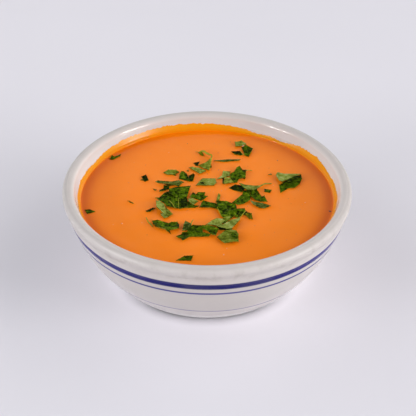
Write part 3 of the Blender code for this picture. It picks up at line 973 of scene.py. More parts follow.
CUT_LEAVES = {
    "leaf_large_left": (
        ("top", 1.0, 0.5, 60, 0.4, 85, ((-20, 7), (-17, 9), (-8.5, 10.5), (-10.5, -1), (-14, -2),
         (-20, 4))),
        ("top", 0.3, 0.5, 250, 0.5, 95, ((-27, -1), (-25, -1), (-22, 4), (-20, 5), (-11, 0), (-10, -9),
         (-14, -11), (-21, -8.5), (-22, -6))),
        ("dark", 0.9, 0.3, 270, 0.3, 95, ((-14, -1), (-10, -1), (-10, -9), (-13, -10))),
        ("top", 0.15, 0.2, 0, 0.1, 150, ((-10, -7), (-7, -9), (-4, -8), (-6, -10), (-11, -10))),
    ),
    "leaf_side_left": (
        ("dark", 0.2, 0.7, 200, 0.3, 30, ((-23, 10.5), (-20, 10.5), (-20, 7), (-25, 4.5), (-25, 6),
         (-23, 8))),
        ("dark", 0.6, 0.3, 100, 0.2, 150, ((-24.5, -1), (-21, 5), (-20, 3), (-23, -1.5))),
    ),
    "leaf_strip_left": (
        ("grey", 1.0, 0.6, 90, 0.4, 0, ((-27.5, 14), (-26, 15.5), (-19, 14.5), (-15, 16), (-12, 14),
         (-15, 11), (-20, 12), (-25, 12.5))),
        # Painted shadow: a dark sheet under the strip's front edge.
        ("dark", 0.2, 0.2, 90, 0.1, 0, ((-23, 12), (-14, 12), (-15, 9.5), (-17, 11), (-20, 10))),
    ),
    "leaf_forked": (
        ("top", 0.3, 0.6, 90, 0.4, 100, ((-14, 24.5), (-12.5, 24.5), (-11, 22), (-9, 14.5), (-15, 17),
         (-15, 21))),
        ("dark", 0.3, 0.7, 60, 0.3, 80, ((-10, 20), (-7.5, 22.5), (-6.5, 21), (-7.5, 15), (-9.5, 15))),
    ),
    "leaf_pale_left": (
        ("pale", 0.3, 0.5, 90, 0.3, 175, ((-23.5, 23), (-21, 26), (-17, 26), (-15, 23.5), (-18, 21),
         (-21, 21))),
        ("dark", 0.15, 0.1, 90, 0.1, 0, ((-18.5, 21), (-16.5, 21), (-17, 20))),
    ),
    "leaf_fold_left": (
        ("bright", 0.8, 1.2, 200, 0.5, 105, ((-26.5, -3.5), (-25, -3.5), (-22, -7), (-20.5, -16),
         (-21.5, -17), (-24, -12), (-26, -9))),
        ("pale", 0.4, 0.5, 40, 0.3, 120, ((-21.5, -8.5), (-17.5, -15.5), (-20, -18.5), (-21.5, -14))),
        ("bright", 0.3, 0.4, 240, 0.3, 60, ((-24, -14.5), (-20, -16), (-20, -18.5), (-22, -19.5),
         (-23.5, -17))),
        ("dark", 0.2, 0.6, 30, 0.2, 20, ((-31.5, -13), (-28, -10), (-26.5, -10.5), (-29, -13.5),
         (-31, -14))),
    ),
    "leaf_long_left": (
        ("top", 0.5, 0.8, 260, 0.5, 160, ((-28, -22), (-25, -21), (-19, -24), (-20, -28.5), (-24, -27),
         (-27.5, -24))),
        ("top", 0.4, 0.8, 300, 0.5, 20, ((-19.5, -24), (-18, -22.5), (-15, -22.5), (-14, -25), (-14, -28),
         (-19, -30), (-20.5, -28))),
        ("dark", 0.15, 0.2, 270, 0.1, 160, ((-27.5, -24.5), (-24, -26), (-19.5, -28), (-18, -33.5),
         (-21, -29.5), (-26, -27))),
    ),
    "leaf_cluster_front": (
        ("grey", 0.6, 0.7, 60, 0.4, 80, ((-11, -21.5), (-8, -24), (-8, -27), (-10.5, -30.5), (-12.5, -30),
         (-12, -25))),
        ("top", 0.5, 0.6, 90, 0.5, 20, ((-10, -28), (-7, -25), (-4.5, -25.5), (-2, -28.5), (-2, -32),
         (-10, -31))),
        ("top", 0.3, 0.4, 200, 0.4, 15, ((-15.5, -35), (-13, -33.5), (-12.5, -31.5), (-3, -31), (2, -33),
         (1, -35), (-9, -35.5), (-12, -38.5), (-13, -36.5), (-14.5, -36.5))),
        ("top", 0.7, 0.5, 0, 0.4, 140, ((-5, -25.5), (1, -25), (6, -28), (4.5, -34), (2.5, -33.5),
         (0, -30), (-2.5, -28))),
    ),
    "leaf_front_right": (
        ("pale", 0.5, 1.0, 330, 0.5, 135, ((5, -35.5), (9, -30), (12, -29), (15, -30), (16, -33),
         (16, -39), (9, -40.5), (7, -38.5))),
        ("top", 1.6, 0.2, 0, 0.1, 10, ((12, -33), (13, -31), (15.5, -33.5), (15, -36.5), (12.5, -36.5))),
    ),
    "leaf_pale_front": (
        ("bright", 0.8, 0.7, 150, 0.4, 25, ((-0.5, -24.5), (2, -21.5), (5, -19), (8, -19.5), (9.5, -21),
         (7.5, -24.5), (5, -25.5))),
        ("bright", 1.0, 1.0, 300, 0.6, 50, ((4.5, -26), (8, -24.5), (13, -20), (17, -18), (16.5, -21),
         (12.5, -28), (10, -28.5))),
        ("pale", 0.6, 0.5, 80, 0.3, 60, ((8, -19), (10, -17), (12, -17.5), (12, -20), (8.5, -24),
         (7.5, -22))),
        # Painted shadow: a dark sheet in front of the raised pale blade.
        ("dark", 0.15, 0.2, 0, 0.1, 0, ((5, -26.5), (7, -26), (13, -28), (12.5, -29.5), (5.5, -29.5))),
    ),
    "leaf_large_middle": (
        ("top", 0.8, 0.5, 110, 0.5, 285, ((5, -3), (10, -3.5), (15, -7), (15.5, -14), (12.5, -19.5),
         (11, -17.5), (8, -18.5), (6, -12), (4.5, -8))),
        ("top", 0.6, 0.9, 30, 0.3, 70, ((15, -10.5), (19.5, -10), (20, -12.5), (16.5, -18.5), (14, -18))),
        # Painted shade: a dark sheet for the shaded gap between the blade and the olive bit.
        ("dark", 0.15, 0.2, 30, 0.1, 70, ((18.5, -14.5), (20.5, -12.5), (21, -17), (18.5, -16))),
        ("olive", 0.3, 0.6, 20, 0.3, 280, ((19.5, -15.5), (21, -13.5), (23, -14.5), (23.5, -20),
         (21.5, -19.5))),
    ),
    "leaf_band_middle": (
        ("top", 0.4, 0.4, 90, 0.4, 160, ((-2, -3), (1, -4.5), (4.5, -5.5), (5.5, -11), (2, -9.5),
         (-4, -9.5), (-3, -6))),
    ),
    "leaf_lobed_middle": (
        ("top", 0.4, 0.6, 80, 0.4, 75, ((-9, 0), (-7.5, 4.5), (-6, 2.5), (-5, 4.5), (-1, 4.5),
         (-1.5, 1.5), (0.5, 1), (-1.5, -2), (-3, -3.5), (-7, -1))),
        ("under", 1.1, 0.5, 200, 0.4, 140, ((-10, -2), (-8, -0.5), (-4.5, -4), (-7, -7.5), (-9, -5))),
        ("top", 0.2, 0.2, 200, 0.2, 140, ((-11, -4), (-9.5, -4), (-8, -7), (-5, -8), (-7, -9.5),
         (-10.5, -9))),
    ),
    "leaf_dark_right": (
        ("top", 0.3, 0.5, 60, 0.4, 55, ((13, -5), (18.5, 3), (19, 6.5), (22.5, 6.5), (22.5, -2), (19, -6),
         (16, -7), (14.5, -6))),
    ),
    "leaf_lobed_right": (
        ("top", 0.5, 0.5, 90, 0.4, 290, ((22.5, 6.5), (26.5, 6), (28.5, 0.5), (30, 2), (31.5, -4),
         (28, -4), (25, -2), (22.5, 2))),
        ("grey", 0.3, 0.6, 150, 0.3, 325, ((22.5, -3), (25, -4), (29, -5), (33, -7.5), (29.5, -10),
         (27, -9.5), (24, -6.5))),
    ),
    "leaf_crescent": (
        ("under", 1.1, 1.0, 255, 0.5, 355, ((16.5, 14), (19.5, 12), (25, 11), (29.5, 11.5), (26, 8),
         (24, 6.5), (21, 7), (18.5, 10))),
        # Painted shade: the first dark blade is a leaf in the crescent's shade, painted near-black for it;
        # the second is a sheet of painted shadow under the crescent.
        ("dark", 0.15, 0.2, 0, 0.2, 10, ((11.5, 8.5), (15, 12), (18.5, 11), (20, 8), (18, 5), (13.5, 7))),
        ("dark", 0.15, 0.2, 0, 0.1, 10, ((20, 6.5), (26.5, 8), (26.5, 6), (22, 4.5))),
    ),
    "leaf_toothed": (
        ("top", 0.5, 0.9, 80, 0.5, 78, ((17.5, 30), (19, 26), (21, 26), (20.5, 19), (19, 18.5),
         (17, 17.5), (16, 14), (14, 13.5), (12, 18), (12, 22), (14, 24), (15.5, 28))),
        ("bright", 0.3, 0.5, 150, 0.3, 60, ((5, 17), (8, 21), (8.5, 25), (12.5, 24.5), (12, 20.5),
         (8, 18))),
        ("stem", 0.6, 0.6, 120, 0.4, 300, ((8.5, 14), (9.5, 18.5), (12, 18.5), (14, 14), (9, 12.5))),
        ("dark", 0.3, 0.2, 120, 0.1, 300, ((8, 17.5), (9, 18.5), (9, 12.5), (8, 13))),
    ),
    "leaf_pale_middle": (
        ("under", 0.3, 0.3, 0, 0.2, 5, ((-6, 11), (-4.5, 14), (-2.5, 17.5), (4.5, 17.5), (5, 14),
         (3.5, 11))),
        # Painted shadow: a dark sheet laid on the pale leaf for the shadow in its slit.
        ("dark", 0.9, 0.1, 0, 0.0, 160, ((-4, 14), (-2, 14), (-1.5, 12.5), (-3, 12.5))),
    ),
    "leaf_pale_back": (
        ("bright", 0.4, 0.5, 60, 0.3, 150, ((-10, 28), (-8, 29), (-5, 28), (-0.5, 25), (-4, 22),
         (-6.5, 24.5))),
        ("young", 0.5, 1.0, 350, 0.2, 60, ((-5, 30), (-1, 33), (1.5, 37), (2, 35), (1, 26), (-2.5, 28))),
        # Painted shadow: a dark sheet beside the young fold's raised edge.
        ("dark", 0.15, 0.2, 350, 0.1, 60, ((1, 31), (2, 32), (2.5, 29), (1.5, 27.5))),
    ),
    "leaf_folded_right": (
        ("top", 0.2, 0.5, 20, 0.3, 35, ((50, 22), (50.5, 18), (49, 13), (46.5, 9.5), (43, 9), (38.5, 4.5),
         (38, 12), (40, 14), (45, 18))),
        # Painted shadow: a dark sheet under the flap's raised front edge.
        ("dark", 2.2, 0.1, 20, 0.0, 25, ((39.5, 14), (46, 19.5), (50, 22), (49.5, 19), (44, 15.5),
         (41, 14))),
        # The flap takes the bright tone as painted light, making up for the light it loses where it tilts.
        ("bright", 1.2, 0.6, 300, 0.3, 15, ((36.5, 21), (37.5, 24), (41, 22.5), (50, 22.5), (45, 19),
         (39.5, 15), (38, 16))),
    ),
    "leaf_back": (
        ("top", 0.4, 0.7, 60, 0.4, 95, ((18.5, 48.5), (21, 51.5), (25, 47.5), (22.5, 39), (20, 41),
         (19.5, 45))),
        ("under", 0.5, 0.7, 100, 0.4, 60, ((15, 54.5), (16.5, 54.5), (18.5, 56), (21.5, 52), (19.5, 51),
         (18, 50), (15.5, 49.5))),
        ("dark", 0.2, 0.3, 150, 0.2, 165, ((13, 44.5), (18, 45), (19.5, 41.5), (18, 40.5), (15, 41.5))),
    ),
    "leaf_front_chip": (
        ("top", 0.2, 0.4, 90, 0.3, 20, ((-15, -55.5), (-11, -51.5), (-6.5, -51), (-7.5, -55.5))),
    ),
    "chips": (
        ("olive", 0.3, 0.5, 90, 0.2, 290, ((-5, 43), (-3, 44), (-2, 40.5), (-2.5, 39.5), (-4, 41))),
        ("top", 0.1, 0.4, 60, 0.2, 40, ((-53, 36), (-52, 40), (-50.5, 38.5), (-47, 41), (-47.5, 39),
         (-51, 35.5))),
        ("dark", 0.1, 0.3, 90, 0.2, 80, ((-35, 19), (-32.5, 21), (-31, 15.5), (-33, 14), (-34, 16))),
        ("grey", 0.1, 0.1, 90, 0.1, 0, ((-35.5, 15.5), (-34.5, 17), (-33.5, 15))),
        ("top", 0.1, 0.3, 90, 0.1, 10, ((-63, -12.5), (-60.5, -12), (-57.5, -14), (-61.5, -16))),
        ("dark", 0.1, 0.3, 90, 0.2, 70, ((-7.5, 32.5), (-4, 34), (-5, 30), (-6.5, 30))),
        ("top", 0.1, 0.3, 90, 0.1, 0, ((30, 8), (34, 7), (33, 4.5), (30, 5.5))),
        ("grey", 0.1, 0.2, 90, 0.1, 320, ((-28.5, 7.5), (-26.5, 6.5), (-27, 5.5))),
        ("grey", 0.1, 0.2, 90, 0.1, 0, ((-11, 25), (-10, 26), (-10, 24))),
        ("grey", 0.0, 0.1, 90, 0.1, 0, ((32.5, 21.5), (34, 23), (34.5, 21.5))),
        ("top", 0.1, 0.2, 90, 0.1, 330, ((-41.5, -4), (-40, -4), (-38, -6.5), (-40, -5.5))),
        ("dark", 0.2, 0.2, 40, 0.1, 0, ((19, 18.5), (20.5, 18.5), (20, 17))),
        ("grey", 0.4, 0.3, 90, 0.0, 4, ((3.5, 35), (11, 36.5), (18, 36.5), (17.5, 35.5), (9, 34))),
        ("stem", 0.4, 0.6, 85, 0.0, 85, ((6, 4), (7, 2), (6.5, -3), (4.5, -4.5), (5, -1))),
    ),
}
BLADES = [Blade(piece, *row) for piece, rows in CUT_LEAVES.items() for row in rows]

# A stalk: thickness (mm), then the points it runs through (mm across, back, and above the soup).
STALKS = (
    (1.2, ((-4.5, 43.5, 0.5), (-2.5, 44.5, 1.0), (0, 42, 1.2), (2.5, 40.5, 1.0))),
    (1.0, ((2.5, 40.5, 1.0), (2, 37, 1.0), (1.5, 32, 1.0), (1, 26, 0.5))),
    (0.4, ((-6.5, 44, 0.0), (-4.5, 43.5, 0.5))),
    (0.4, ((20.5, 25, 0.5), (22, 26, 0.5), (24, 25.5, 0.0))),
    (0.8, ((28.5, 11.5, 1.0), (31, 13, 0.5), (34, 13, 0.0))),
    (0.6, ((-7, -20.5, 1.0), (-8, -24, 1.0), (-7.5, -27.5, 1.0))),
    (0.9, ((-31, -19, 0.5), (-30, -22.5, 0.5))),
    (0.8, ((-30, -22.5, 0.5), (-28.5, -25, 0.0), (-27.5, -27, 0.0))),
    (0.4, ((18, 44.5, 1.0), (19.5, 41, 1.0))),
    (0.4, ((-20, -3, 1.5), (-18, -6, 1.5), (-16.5, -10.5, 1.0))),
    (0.4, ((-15, -1, 1.5), (-14.5, -10, 1.5))),
    (0.4, ((5, -8, 1.5), (6, -12, 1.5), (7.5, -17.5, 1.0))),
    (0.4, ((20, -12, 2.0), (18, -16, 1.5), (17, -18.5, 1.5))),
    (0.4, ((-25.5, -27, 0.5), (-21, -29, 0.5), (-20, -31, 0.5))),
    (0.4, ((10.5, -39, 1.0), (16, -39, 1.5))),
    (0.6, ((12.5, 15.5, 1.5), (14, 14, 1.0))),
)


TOOTH_DEPTHS = (-1.2, -0.8, -0.4, 0.3)   # of the tooth setting, one drawn for each edge
TOOTH_POINTS = 6
SHEET_MARGIN = 0.3       # of the sheet's faces, kept outside the outline before the edge is fitted
LIFT_POWER, CURL_POWER = 1.4, 1.3
WAVE_PITCH, PUCKER_PITCHES = 170.0, ((1.0, 520.0), (0.5, 1100.0))
OWN_PUCKER = 7.0         # how far apart in the noise the puckers of two blades are taken
LEAST_LOOSE = 0.3        # how much a blade that lies flat on the soup still bends
REST_CLEARANCE = 0.25    # least height of a raised blade, of its rest
UV_UNITS = 100.0         # the blade's UV is in centimetres


def leaf_outline(blade, draw, parsley):
    """The corners of a blade, joined by edges that are cut straight or grown into small teeth."""
    corners = [Vector((x * MM, y * MM)) for x, y in blade.corners]
    following = corners[1:] + corners[:1]
    if sum(a.x * b.y - b.x * a.y for a, b in zip(corners, following)) < 0.0:
        corners.reverse()
        following = corners[1:] + corners[:1]
    outline = []
    for start, end in zip(corners, following):
        side = end - start
        outward = Vector((side.y, -side.x)).normalized()
        teeth = max(1, round(side.length / parsley.lobe))
        depth = parsley.tooth * draw.choice(TOOTH_DEPTHS)
        for step in range(teeth * TOOTH_POINTS):
            share = step / (teeth * TOOTH_POINTS)
            wave = math.sin(math.pi * ((share * teeth) % 1.0))
            outline.append(start + side * share + outward * depth * wave)
    return np.array([tuple(point) for point in outline])


def cut_blade(blade, draw, parsley):
    """Cuts a bit of leaf out of a fine flat sheet: what lies outside goes, then the edge is fitted."""
    outline = leaf_outline(blade, draw, parsley)
    middle = outline.mean(axis=0)
    reach = 2.0 * np.linalg.norm(outline - middle, axis=1).max()
    count = math.ceil(reach / parsley.sheet)
    deselect_all()
    bpy.ops.mesh.primitive_grid_add(x_subdivisions=count, y_subdivisions=count, size=reach,
                                    location=(*middle, 0.0), rotation=(0.0, 0.0, math.radians(blade.rib)))
    thing = settle(bpy.context.object, blade.piece)
    mesh = thing.data
    gap, _, inside = gap_to_outline(positions(mesh)[:, :2], outline)
    outside = ~inside & (gap > SHEET_MARGIN * parsley.sheet)
    mesh.polygons.foreach_set("select", np.zeros(len(mesh.polygons), dtype=bool))
    mesh.edges.foreach_set("select", np.zeros(len(mesh.edges), dtype=bool))
    mesh.vertices.foreach_set("select", outside)
    bpy.ops.object.mode_set(mode="EDIT")
    bpy.ops.mesh.delete(type="VERT")
    bpy.ops.mesh.select_all(action="SELECT")
    bpy.ops.mesh.delete_loose()
    bpy.ops.mesh.select_all(action="DESELECT")
    bpy.ops.mesh.select_non_manifold()
    bpy.ops.object.mode_set(mode="OBJECT")
    edge = np.zeros(len(mesh.vertices), dtype=bool)
    mesh.vertices.foreach_get("select", edge)
    rows = positions(mesh)
    _, nearest, _ = gap_to_outline(rows[edge][:, :2], outline)
    rows[edge, :2] = nearest
    edge_rows = np.flatnonzero(edge)
    for corner in np.array(blade.corners) * MM:
        closest = edge_rows[np.linalg.norm(rows[edge_rows, :2] - corner, axis=1).argmin()]
        rows[closest, :2] = corner
    set_positions(mesh, rows)
    return thing


def shape_blade(thing, blade, index, parsley):
    """Tilts, folds and puckers a flat blade, and records what its material needs."""
    mesh = thing.data
    rows = positions(mesh)
    flat = rows[:, :2] - rows[:, :2].mean(axis=0)
    rib, raised = math.radians(blade.rib), math.radians(blade.lift_to)
    along = flat @ (math.cos(rib), math.sin(rib))
    across = flat @ (-math.sin(rib), math.cos(rib))
    rise = flat @ (math.cos(raised), math.sin(raised))
    rise = (rise - rise.min()) / np.ptp(rise)
    spread = np.abs(across) / np.abs(across).max()
    spots = [Vector((x, y, 0.0)) for x, y in rows[:, :2]]
    own = Vector((0.0, 0.0, OWN_PUCKER * index))
    wave = np.array([noise.noise(spot * WAVE_PITCH) for spot in spots])
    pucker = np.array([sum(share * noise.noise(spot * pitch + own) for share, pitch in PUCKER_PITCHES)
                       for spot in spots])
    loose = min(1.0, LEAST_LOOSE + blade.rest)
    height = (blade.rest + blade.lift * rise ** LIFT_POWER + blade.curl * spread ** CURL_POWER) * MM
    height += (wave * parsley.wave + pucker * parsley.crinkle) * loose
    height = np.maximum(height, (LOWEST_LEAF + REST_CLEARANCE * blade.rest) * MM)
    rows[:, 2] = SOUP_LEVEL + height
    rows[:, 1] -= VIEW_SLANT * height
    set_positions(mesh, rows)
    paint_attribute(mesh, "pucker", 0.5 + 0.5 * pucker)
    uv = mesh.uv_layers.active or mesh.uv_layers.new()
    uv.name = "blade"
    flat_uv = np.stack((along, across), axis=1) * UV_UNITS
    loops = np.empty(len(mesh.loops), dtype=np.int32)
    mesh.loops.foreach_get("vertex_index", loops)
    uv.data.foreach_set("uv", flat_uv[loops].astype(np.float32).ravel())


def thicken_blade(thing, parsley):
    """Gives a blade its thickness, with its second and third materials on the hidden side and the edge."""
    solid = thing.modifiers.new("Thickness", "SOLIDIFY")
    solid.thickness = parsley.thickness
    solid.offset = 0.0
    solid.material_offset = 1
    solid.material_offset_rim = 2
    apply_modifiers(thing)
    bpy.ops.object.shade_smooth_by_angle(angle=math.radians(60.0))


# PUCKER_SHADE_SHARE: painted light on the raised puckers and painted shade in the creases between them.
PATCH_SHARE, FINE_SHARE, PUCKER_SHADE_SHARE = 0.38, 0.30, 0.32
DARK_TO_MIDDLE, MIDDLE_TO_LIGHT = (0.22, 0.50), (0.54, 0.86)


def leaf_material(name, tones, vein, vein_strength):
    """One side of a parsley leaf: dark, middle and light tones, lighter on its veins, with painted light on
    its puckers and painted shade in the creases between them.
    """
    material, nodes, shader, place = new_material(name)
    veins = shared_group("Leaf Veins", vein_group)
    blade = nodes.add("ShaderNodeUVMap", uv_map="blade").outputs[0]
    rib = nodes.group(veins, vector=blade, spacing=0.27, width=0.020)
    patch = nodes.patches(place, 300.0, 0.36, 0.64)
    fine = nodes.patches(place, 900.0, 0.38, 0.64)
    # painted light and shade: lighter where the leaf is raised, darker in its creases
    raised = nodes.fade(nodes.painted("pucker"), 0.25, 0.8)
    share = nodes.total(nodes.product(patch, PATCH_SHARE), nodes.product(fine, FINE_SHARE),
                        nodes.product(raised, PUCKER_SHADE_SHARE))
    dark, middle, light = tones
    colour = nodes.layers(
        dark,
        (nodes.fade(share, *DARK_TO_MIDDLE), middle),
        (nodes.fade(share, *MIDDLE_TO_LIGHT), light),
        (nodes.product(rib, vein_strength), vein),
    )
    relief = nodes.bump(rib, 0.08 * MM, 0.7)
    relief = nodes.bump(nodes.noise(place, 900.0, detail=3.0), 0.16 * MM, 0.7, relief)
    nodes.surface(shader, colour, nodes.fade(patch, 0.0, 1.0, 0.45, 0.6), relief, ior=1.3, specular=0.03)
    return material


# Dark, middle and light tones of each kind of leaf side, and how much its veins show.
LEAF_TONES = {
    "top": (((0.007, 0.014, 0.0001), (0.043, 0.084, 0.0004), (0.128, 0.195, 0.006)), 0.40),
    # dark: near-black green, painted shade, for bits that lie in the shade of other leaves and for sheets
    # that stand for shadows
    "dark": (((0.002, 0.005, 0.0001), (0.009, 0.018, 0.0002), (0.036, 0.060, 0.0008)), 0.10),
    # grey: greyish green, with the leaf's sheen painted into the colour as a painted reflection
    "grey": (((0.022, 0.036, 0.003), (0.088, 0.112, 0.018), (0.185, 0.200, 0.055)), 0.15),
    "pale": (((0.070, 0.088, 0.004), (0.150, 0.185, 0.015), (0.240, 0.275, 0.048)), 0.10),
    "under": (((0.098, 0.118, 0.011), (0.195, 0.234, 0.034), (0.285, 0.325, 0.082)), 0.10),
    "bright": (((0.130, 0.158, 0.018), (0.245, 0.290, 0.050), (0.345, 0.385, 0.120)), 0.10),
    "young": (((0.095, 0.115, 0.006), (0.172, 0.212, 0.017), (0.265, 0.295, 0.045)), 0.15),
    "stem": (((0.120, 0.135, 0.010), (0.232, 0.248, 0.029), (0.310, 0.325, 0.065)), 0.15),
    "olive": (((0.060, 0.064, 0.001), (0.135, 0.140, 0.002), (0.205, 0.205, 0.010)), 0.15),
    # edge: the cut edges, painted lighter for the light that catches them
    "edge": (((0.040, 0.062, 0.002), (0.095, 0.130, 0.008), (0.170, 0.215, 0.028)), 0.10),
}
UNDERSIDES = ("pale", "under", "bright")     # the top is hidden when one of these shows


def leaf_sides(parsley):
    """Materials of the showing side, the hidden side and the cut edge, for each way a blade can lie."""
    made = {kind: leaf_material("parsley_" + kind, tones, parsley.vein, veins)
            for kind, (tones, veins) in LEAF_TONES.items()}
    return {kind: (made[kind], made["top" if kind in UNDERSIDES else "under"], made["edge"])
            for kind in made}


class SOUPBOWL_OT_leaves(bpy.types.Operator):
    """Strew the chopped parsley leaves"""
    bl_idname = "soupbowl.leaves"
    bl_label = "Leaves"

    def execute(self, context):
        parsley = context.scene.soup_parsley
        sides = leaf_sides(parsley)
        heaps = {}
        for index, blade in enumerate(BLADES):
            thing = cut_blade(blade, random.Random(index), parsley)
            shape_blade(thing, blade, index, parsley)
            for material in sides[blade.face]:
                thing.data.materials.append(material)
            thicken_blade(thing, parsley)
            heaps.setdefault(blade.piece, []).append(thing)
        for name, things in heaps.items():
            piece = join("parsley_" + name, things)
            finish_piece(piece, [name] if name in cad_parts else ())
        return {"FINISHED"}


def stalk_material(parsley):
    material, nodes, shader, place = new_material("parsley_stalk")
    patch = nodes.patches(place, 300.0, 0.35, 0.65)
    colour = nodes.mix(nodes.product(patch, 0.6), parsley.stalk, parsley.stalk_shade)
    normal = nodes.bump(nodes.noise(place, 1200.0), 0.05 * MM, 0.5)
    nodes.surface(shader, colour, nodes.fade(patch, 0.0, 1.0, 0.35, 0.5), normal, specular=0.15)
    return material


STALK_END = 0.6          # thickness of a stalk at its ends, of its middle


class SOUPBOWL_OT_stalks(bpy.types.Operator):
    """Lay the thin stalks between the leaves"""
    bl_idname = "soupbowl.stalks"
    bl_label = "Stalks"

    def execute(self, context):
        things = []
        for thickness, route in STALKS:
            curve = bpy.data.curves.new("stalk", "CURVE")
            curve.dimensions = "3D"
            curve.bevel_depth = thickness / 2 * MM
            curve.bevel_resolution = 2
            curve.resolution_u = 6
            curve.use_fill_caps = True
            spline = curve.splines.new("BEZIER")
            spline.bezier_points.add(len(route) - 1)
            for index, (point, (across, back, above)) in enumerate(zip(spline.bezier_points, route)):
                height = above * MM + curve.bevel_depth / 2
                point.co = (across * MM, back * MM - VIEW_SLANT * height, SOUP_LEVEL + height)
                point.handle_left_type = point.handle_right_type = "AUTO"
                point.radius = 1.0 if 0 < index < len(route) - 1 else STALK_END
            thing = bpy.data.objects.new("stalk", curve)
            context.scene.collection.objects.link(thing)
            pick(thing)
            bpy.ops.object.convert(target="MESH")
            weld(thing, 0.002 * MM)
            things.append(thing)
        piece = join("parsley_stalks", things)
        finish_piece(piece, (), [stalk_material(context.scene.soup_parsley)])
        return {"FINISHED"}


# ---------------------------------------------------------------- crumbs and bubbles

def plain_material(name, colour, dark, roughness):
    """An uneven colour for small bits."""
    material, nodes, shader, place = new_material(name)
    patch = nodes.patches(place, 500.0, 0.35, 0.65)
    normal = nodes.bump(nodes.noise(place, 900.0), 0.03 * MM, 0.5)
    rough = nodes.fade(patch, 0.0, 1.0, roughness, roughness + 0.15)
    nodes.surface(shader, nodes.mix(patch, colour, dark), rough, normal)
    return material


Crumb = namedtuple("Crumb", "piece slot material spots flatness rounds colour dark roughness")
STREWN_RADIUS = 61.0     # mm, nothing is strewn beyond it
SUNK = 0.1               # height of a crumb's middle above the soup's level, of its size
STRETCH = (0.9, 1.5)


def scatter(name, spots, flatness, rounds):
    """Small pebbles at (x, y, size) spots in mm, half sunk in the soup, each a copy of one ball."""
    deselect_all()
    bpy.ops.mesh.primitive_uv_sphere_add(segments=rounds, ring_count=rounds // 2 + 1, radius=0.5)
    pattern = bpy.context.object
    draw = random.Random(name)
    things = []
    for across, back, size in spots:
        thing = pattern.copy()
        thing.data = pattern.data.copy()
        bpy.context.scene.collection.objects.link(thing)
        thing.location = (across * MM, back * MM, SOUP_LEVEL + SUNK * size * MM)
        thing.rotation_euler = (0.0, 0.0, draw.uniform(0.0, math.pi))
        thing.scale = (size * MM * draw.uniform(*STRETCH), size * MM, size * MM * flatness)
        things.append(thing)
    bpy.data.objects.remove(pattern)
    piece = join(name, things)
    pick(piece)
    bpy.ops.object.shade_smooth()
    return piece


def strewn_spots(seed, count, middle, spread, smallest, largest):
    """Spots in mm, thinning out from a middle point, inside the bowl."""
    draw = random.Random(seed)
    spots = []
    while len(spots) < count:
        x = draw.gauss(middle[0], spread[0])
        y = draw.gauss(middle[1], spread[1])
        if math.hypot(x, y) < STREWN_RADIUS:
            spots.append((x, y, draw.uniform(smallest, largest)))
    return spots


CRUMBS = (
    Crumb("herb_crumbs", "parsley_top", "herb_crumb", strewn_spots(5, 16, (-2, 4), (22, 22), 0.25, 0.5),
          0.35, 8, (0.10, 0.16, 0.02), (0.03, 0.06, 0.008), 0.45),
    Crumb("skin_flecks", "soup", "skin_fleck", strewn_spots(11, 60, (0, 0), (34, 34), 0.2, 0.55),
          0.18, 8, (0.62, 0.16, 0.02), (0.42, 0.10, 0.015), 0.35),
    Crumb("dark_fleck", "soup", "dark_fleck", [(63.4, -12.4, 1.1), (38, 35.6, 0.6), (33, 13.4, 0.5)],
          0.3, 10, (0.16, 0.05, 0.02), (0.07, 0.03, 0.02), 0.4),
    Crumb("bubbles", "soup", "bubble",
          [(-43.2, -24.6, 0.9), (-3.5, 15.5, 0.4), (51, -4.6, 0.6), (8.4, -50.5, 0.7),
           *strewn_spots(23, 16, (0, -6), (36, 30), 0.25, 0.5)],
          0.7, 12, (0.90, 0.42, 0.20), (0.88, 0.34, 0.12), 0.12),
    # A drop of cream by the back leaf, painted pale for the highlight on it.
    Crumb("droplets", "soup", "droplet", [(19.6, 50.2, 1.1)],
          0.6, 14, (0.93, 0.70, 0.62), (0.88, 0.60, 0.50), 0.15),
)


class SOUPBOWL_OT_crumbs(bpy.types.Operator):
    """Sprinkle herb crumbs, flecks of tomato skin and small bubbles"""
    bl_idname = "soupbowl.crumbs"
    bl_label = "Crumbs and bubbles"

    def execute(self, context):
        for crumb in CRUMBS:
            piece = scatter(crumb.piece, crumb.spots, crumb.flatness, crumb.rounds)
            material = plain_material(crumb.material, crumb.colour, crumb.dark, crumb.roughness)
            finish_piece(piece, (), [material])
        return {"FINISHED"}


# ---------------------------------------------------------------- the stage

LAMP_DISTANCE = 2.0
LEFT_LAMP = ((-0.845, -0.467, 0.274), 1.0, 0.28)     # direction from the bowl, width and height (m)
RIGHT_LAMP = ((0.902, -0.365, 0.246), 1.05, 0.30)
GLINT_LAMPS = [((side * 0.87, -0.42, 0.26), 0.75, 0.20) for side in (-1.0, 1.0)]

# Edges of the room's lights, as (start, end) of the sine of the angle above the table.
CEILING_EDGE, BACKDROP_EDGE, DIP_START, DIP_END = (
    tuple(math.sin(math.radians(angle)) for angle in edge)
    for edge in ((50.0, 65.0), (31.0, 38.0), (26.0, 28.5), (31.8, 33.6))
)
WALL_EDGE = (0.4, 0.7)           # the same for the walls, from the middle of the room
BACKDROP_START = (0.2, 0.5)

TABLE_UNEVENNESS = 0.985
TABLE_SHADE = 0.30               # painted contact shadow: how much darker the table is where the bowl's foot meets it
TABLE_SHADE_REACH = 8.0 * MM
AIM = (0.5 * MM, -22.5 * MM, 0.0)    # what the camera looks at, from the middle of the rim


def softbox(name, direction, width, height, power):
    """A soft area lamp that looks at the bowl."""
    lamp = bpy.data.lights.new(name, "AREA")
    lamp.shape = "RECTANGLE"
    lamp.size = width
    lamp.size_y = height
    lamp.energy = power
    thing = bpy.data.objects.new(name, lamp)
    bpy.context.scene.collection.objects.link(thing)
    way = Vector(direction).normalized()
    thing.location = Vector((0.0, 0.0, BOWL_HEIGHT)) + way * LAMP_DISTANCE
    thing.rotation_euler = way.to_track_quat("Z", "Y").to_euler()
    return thing


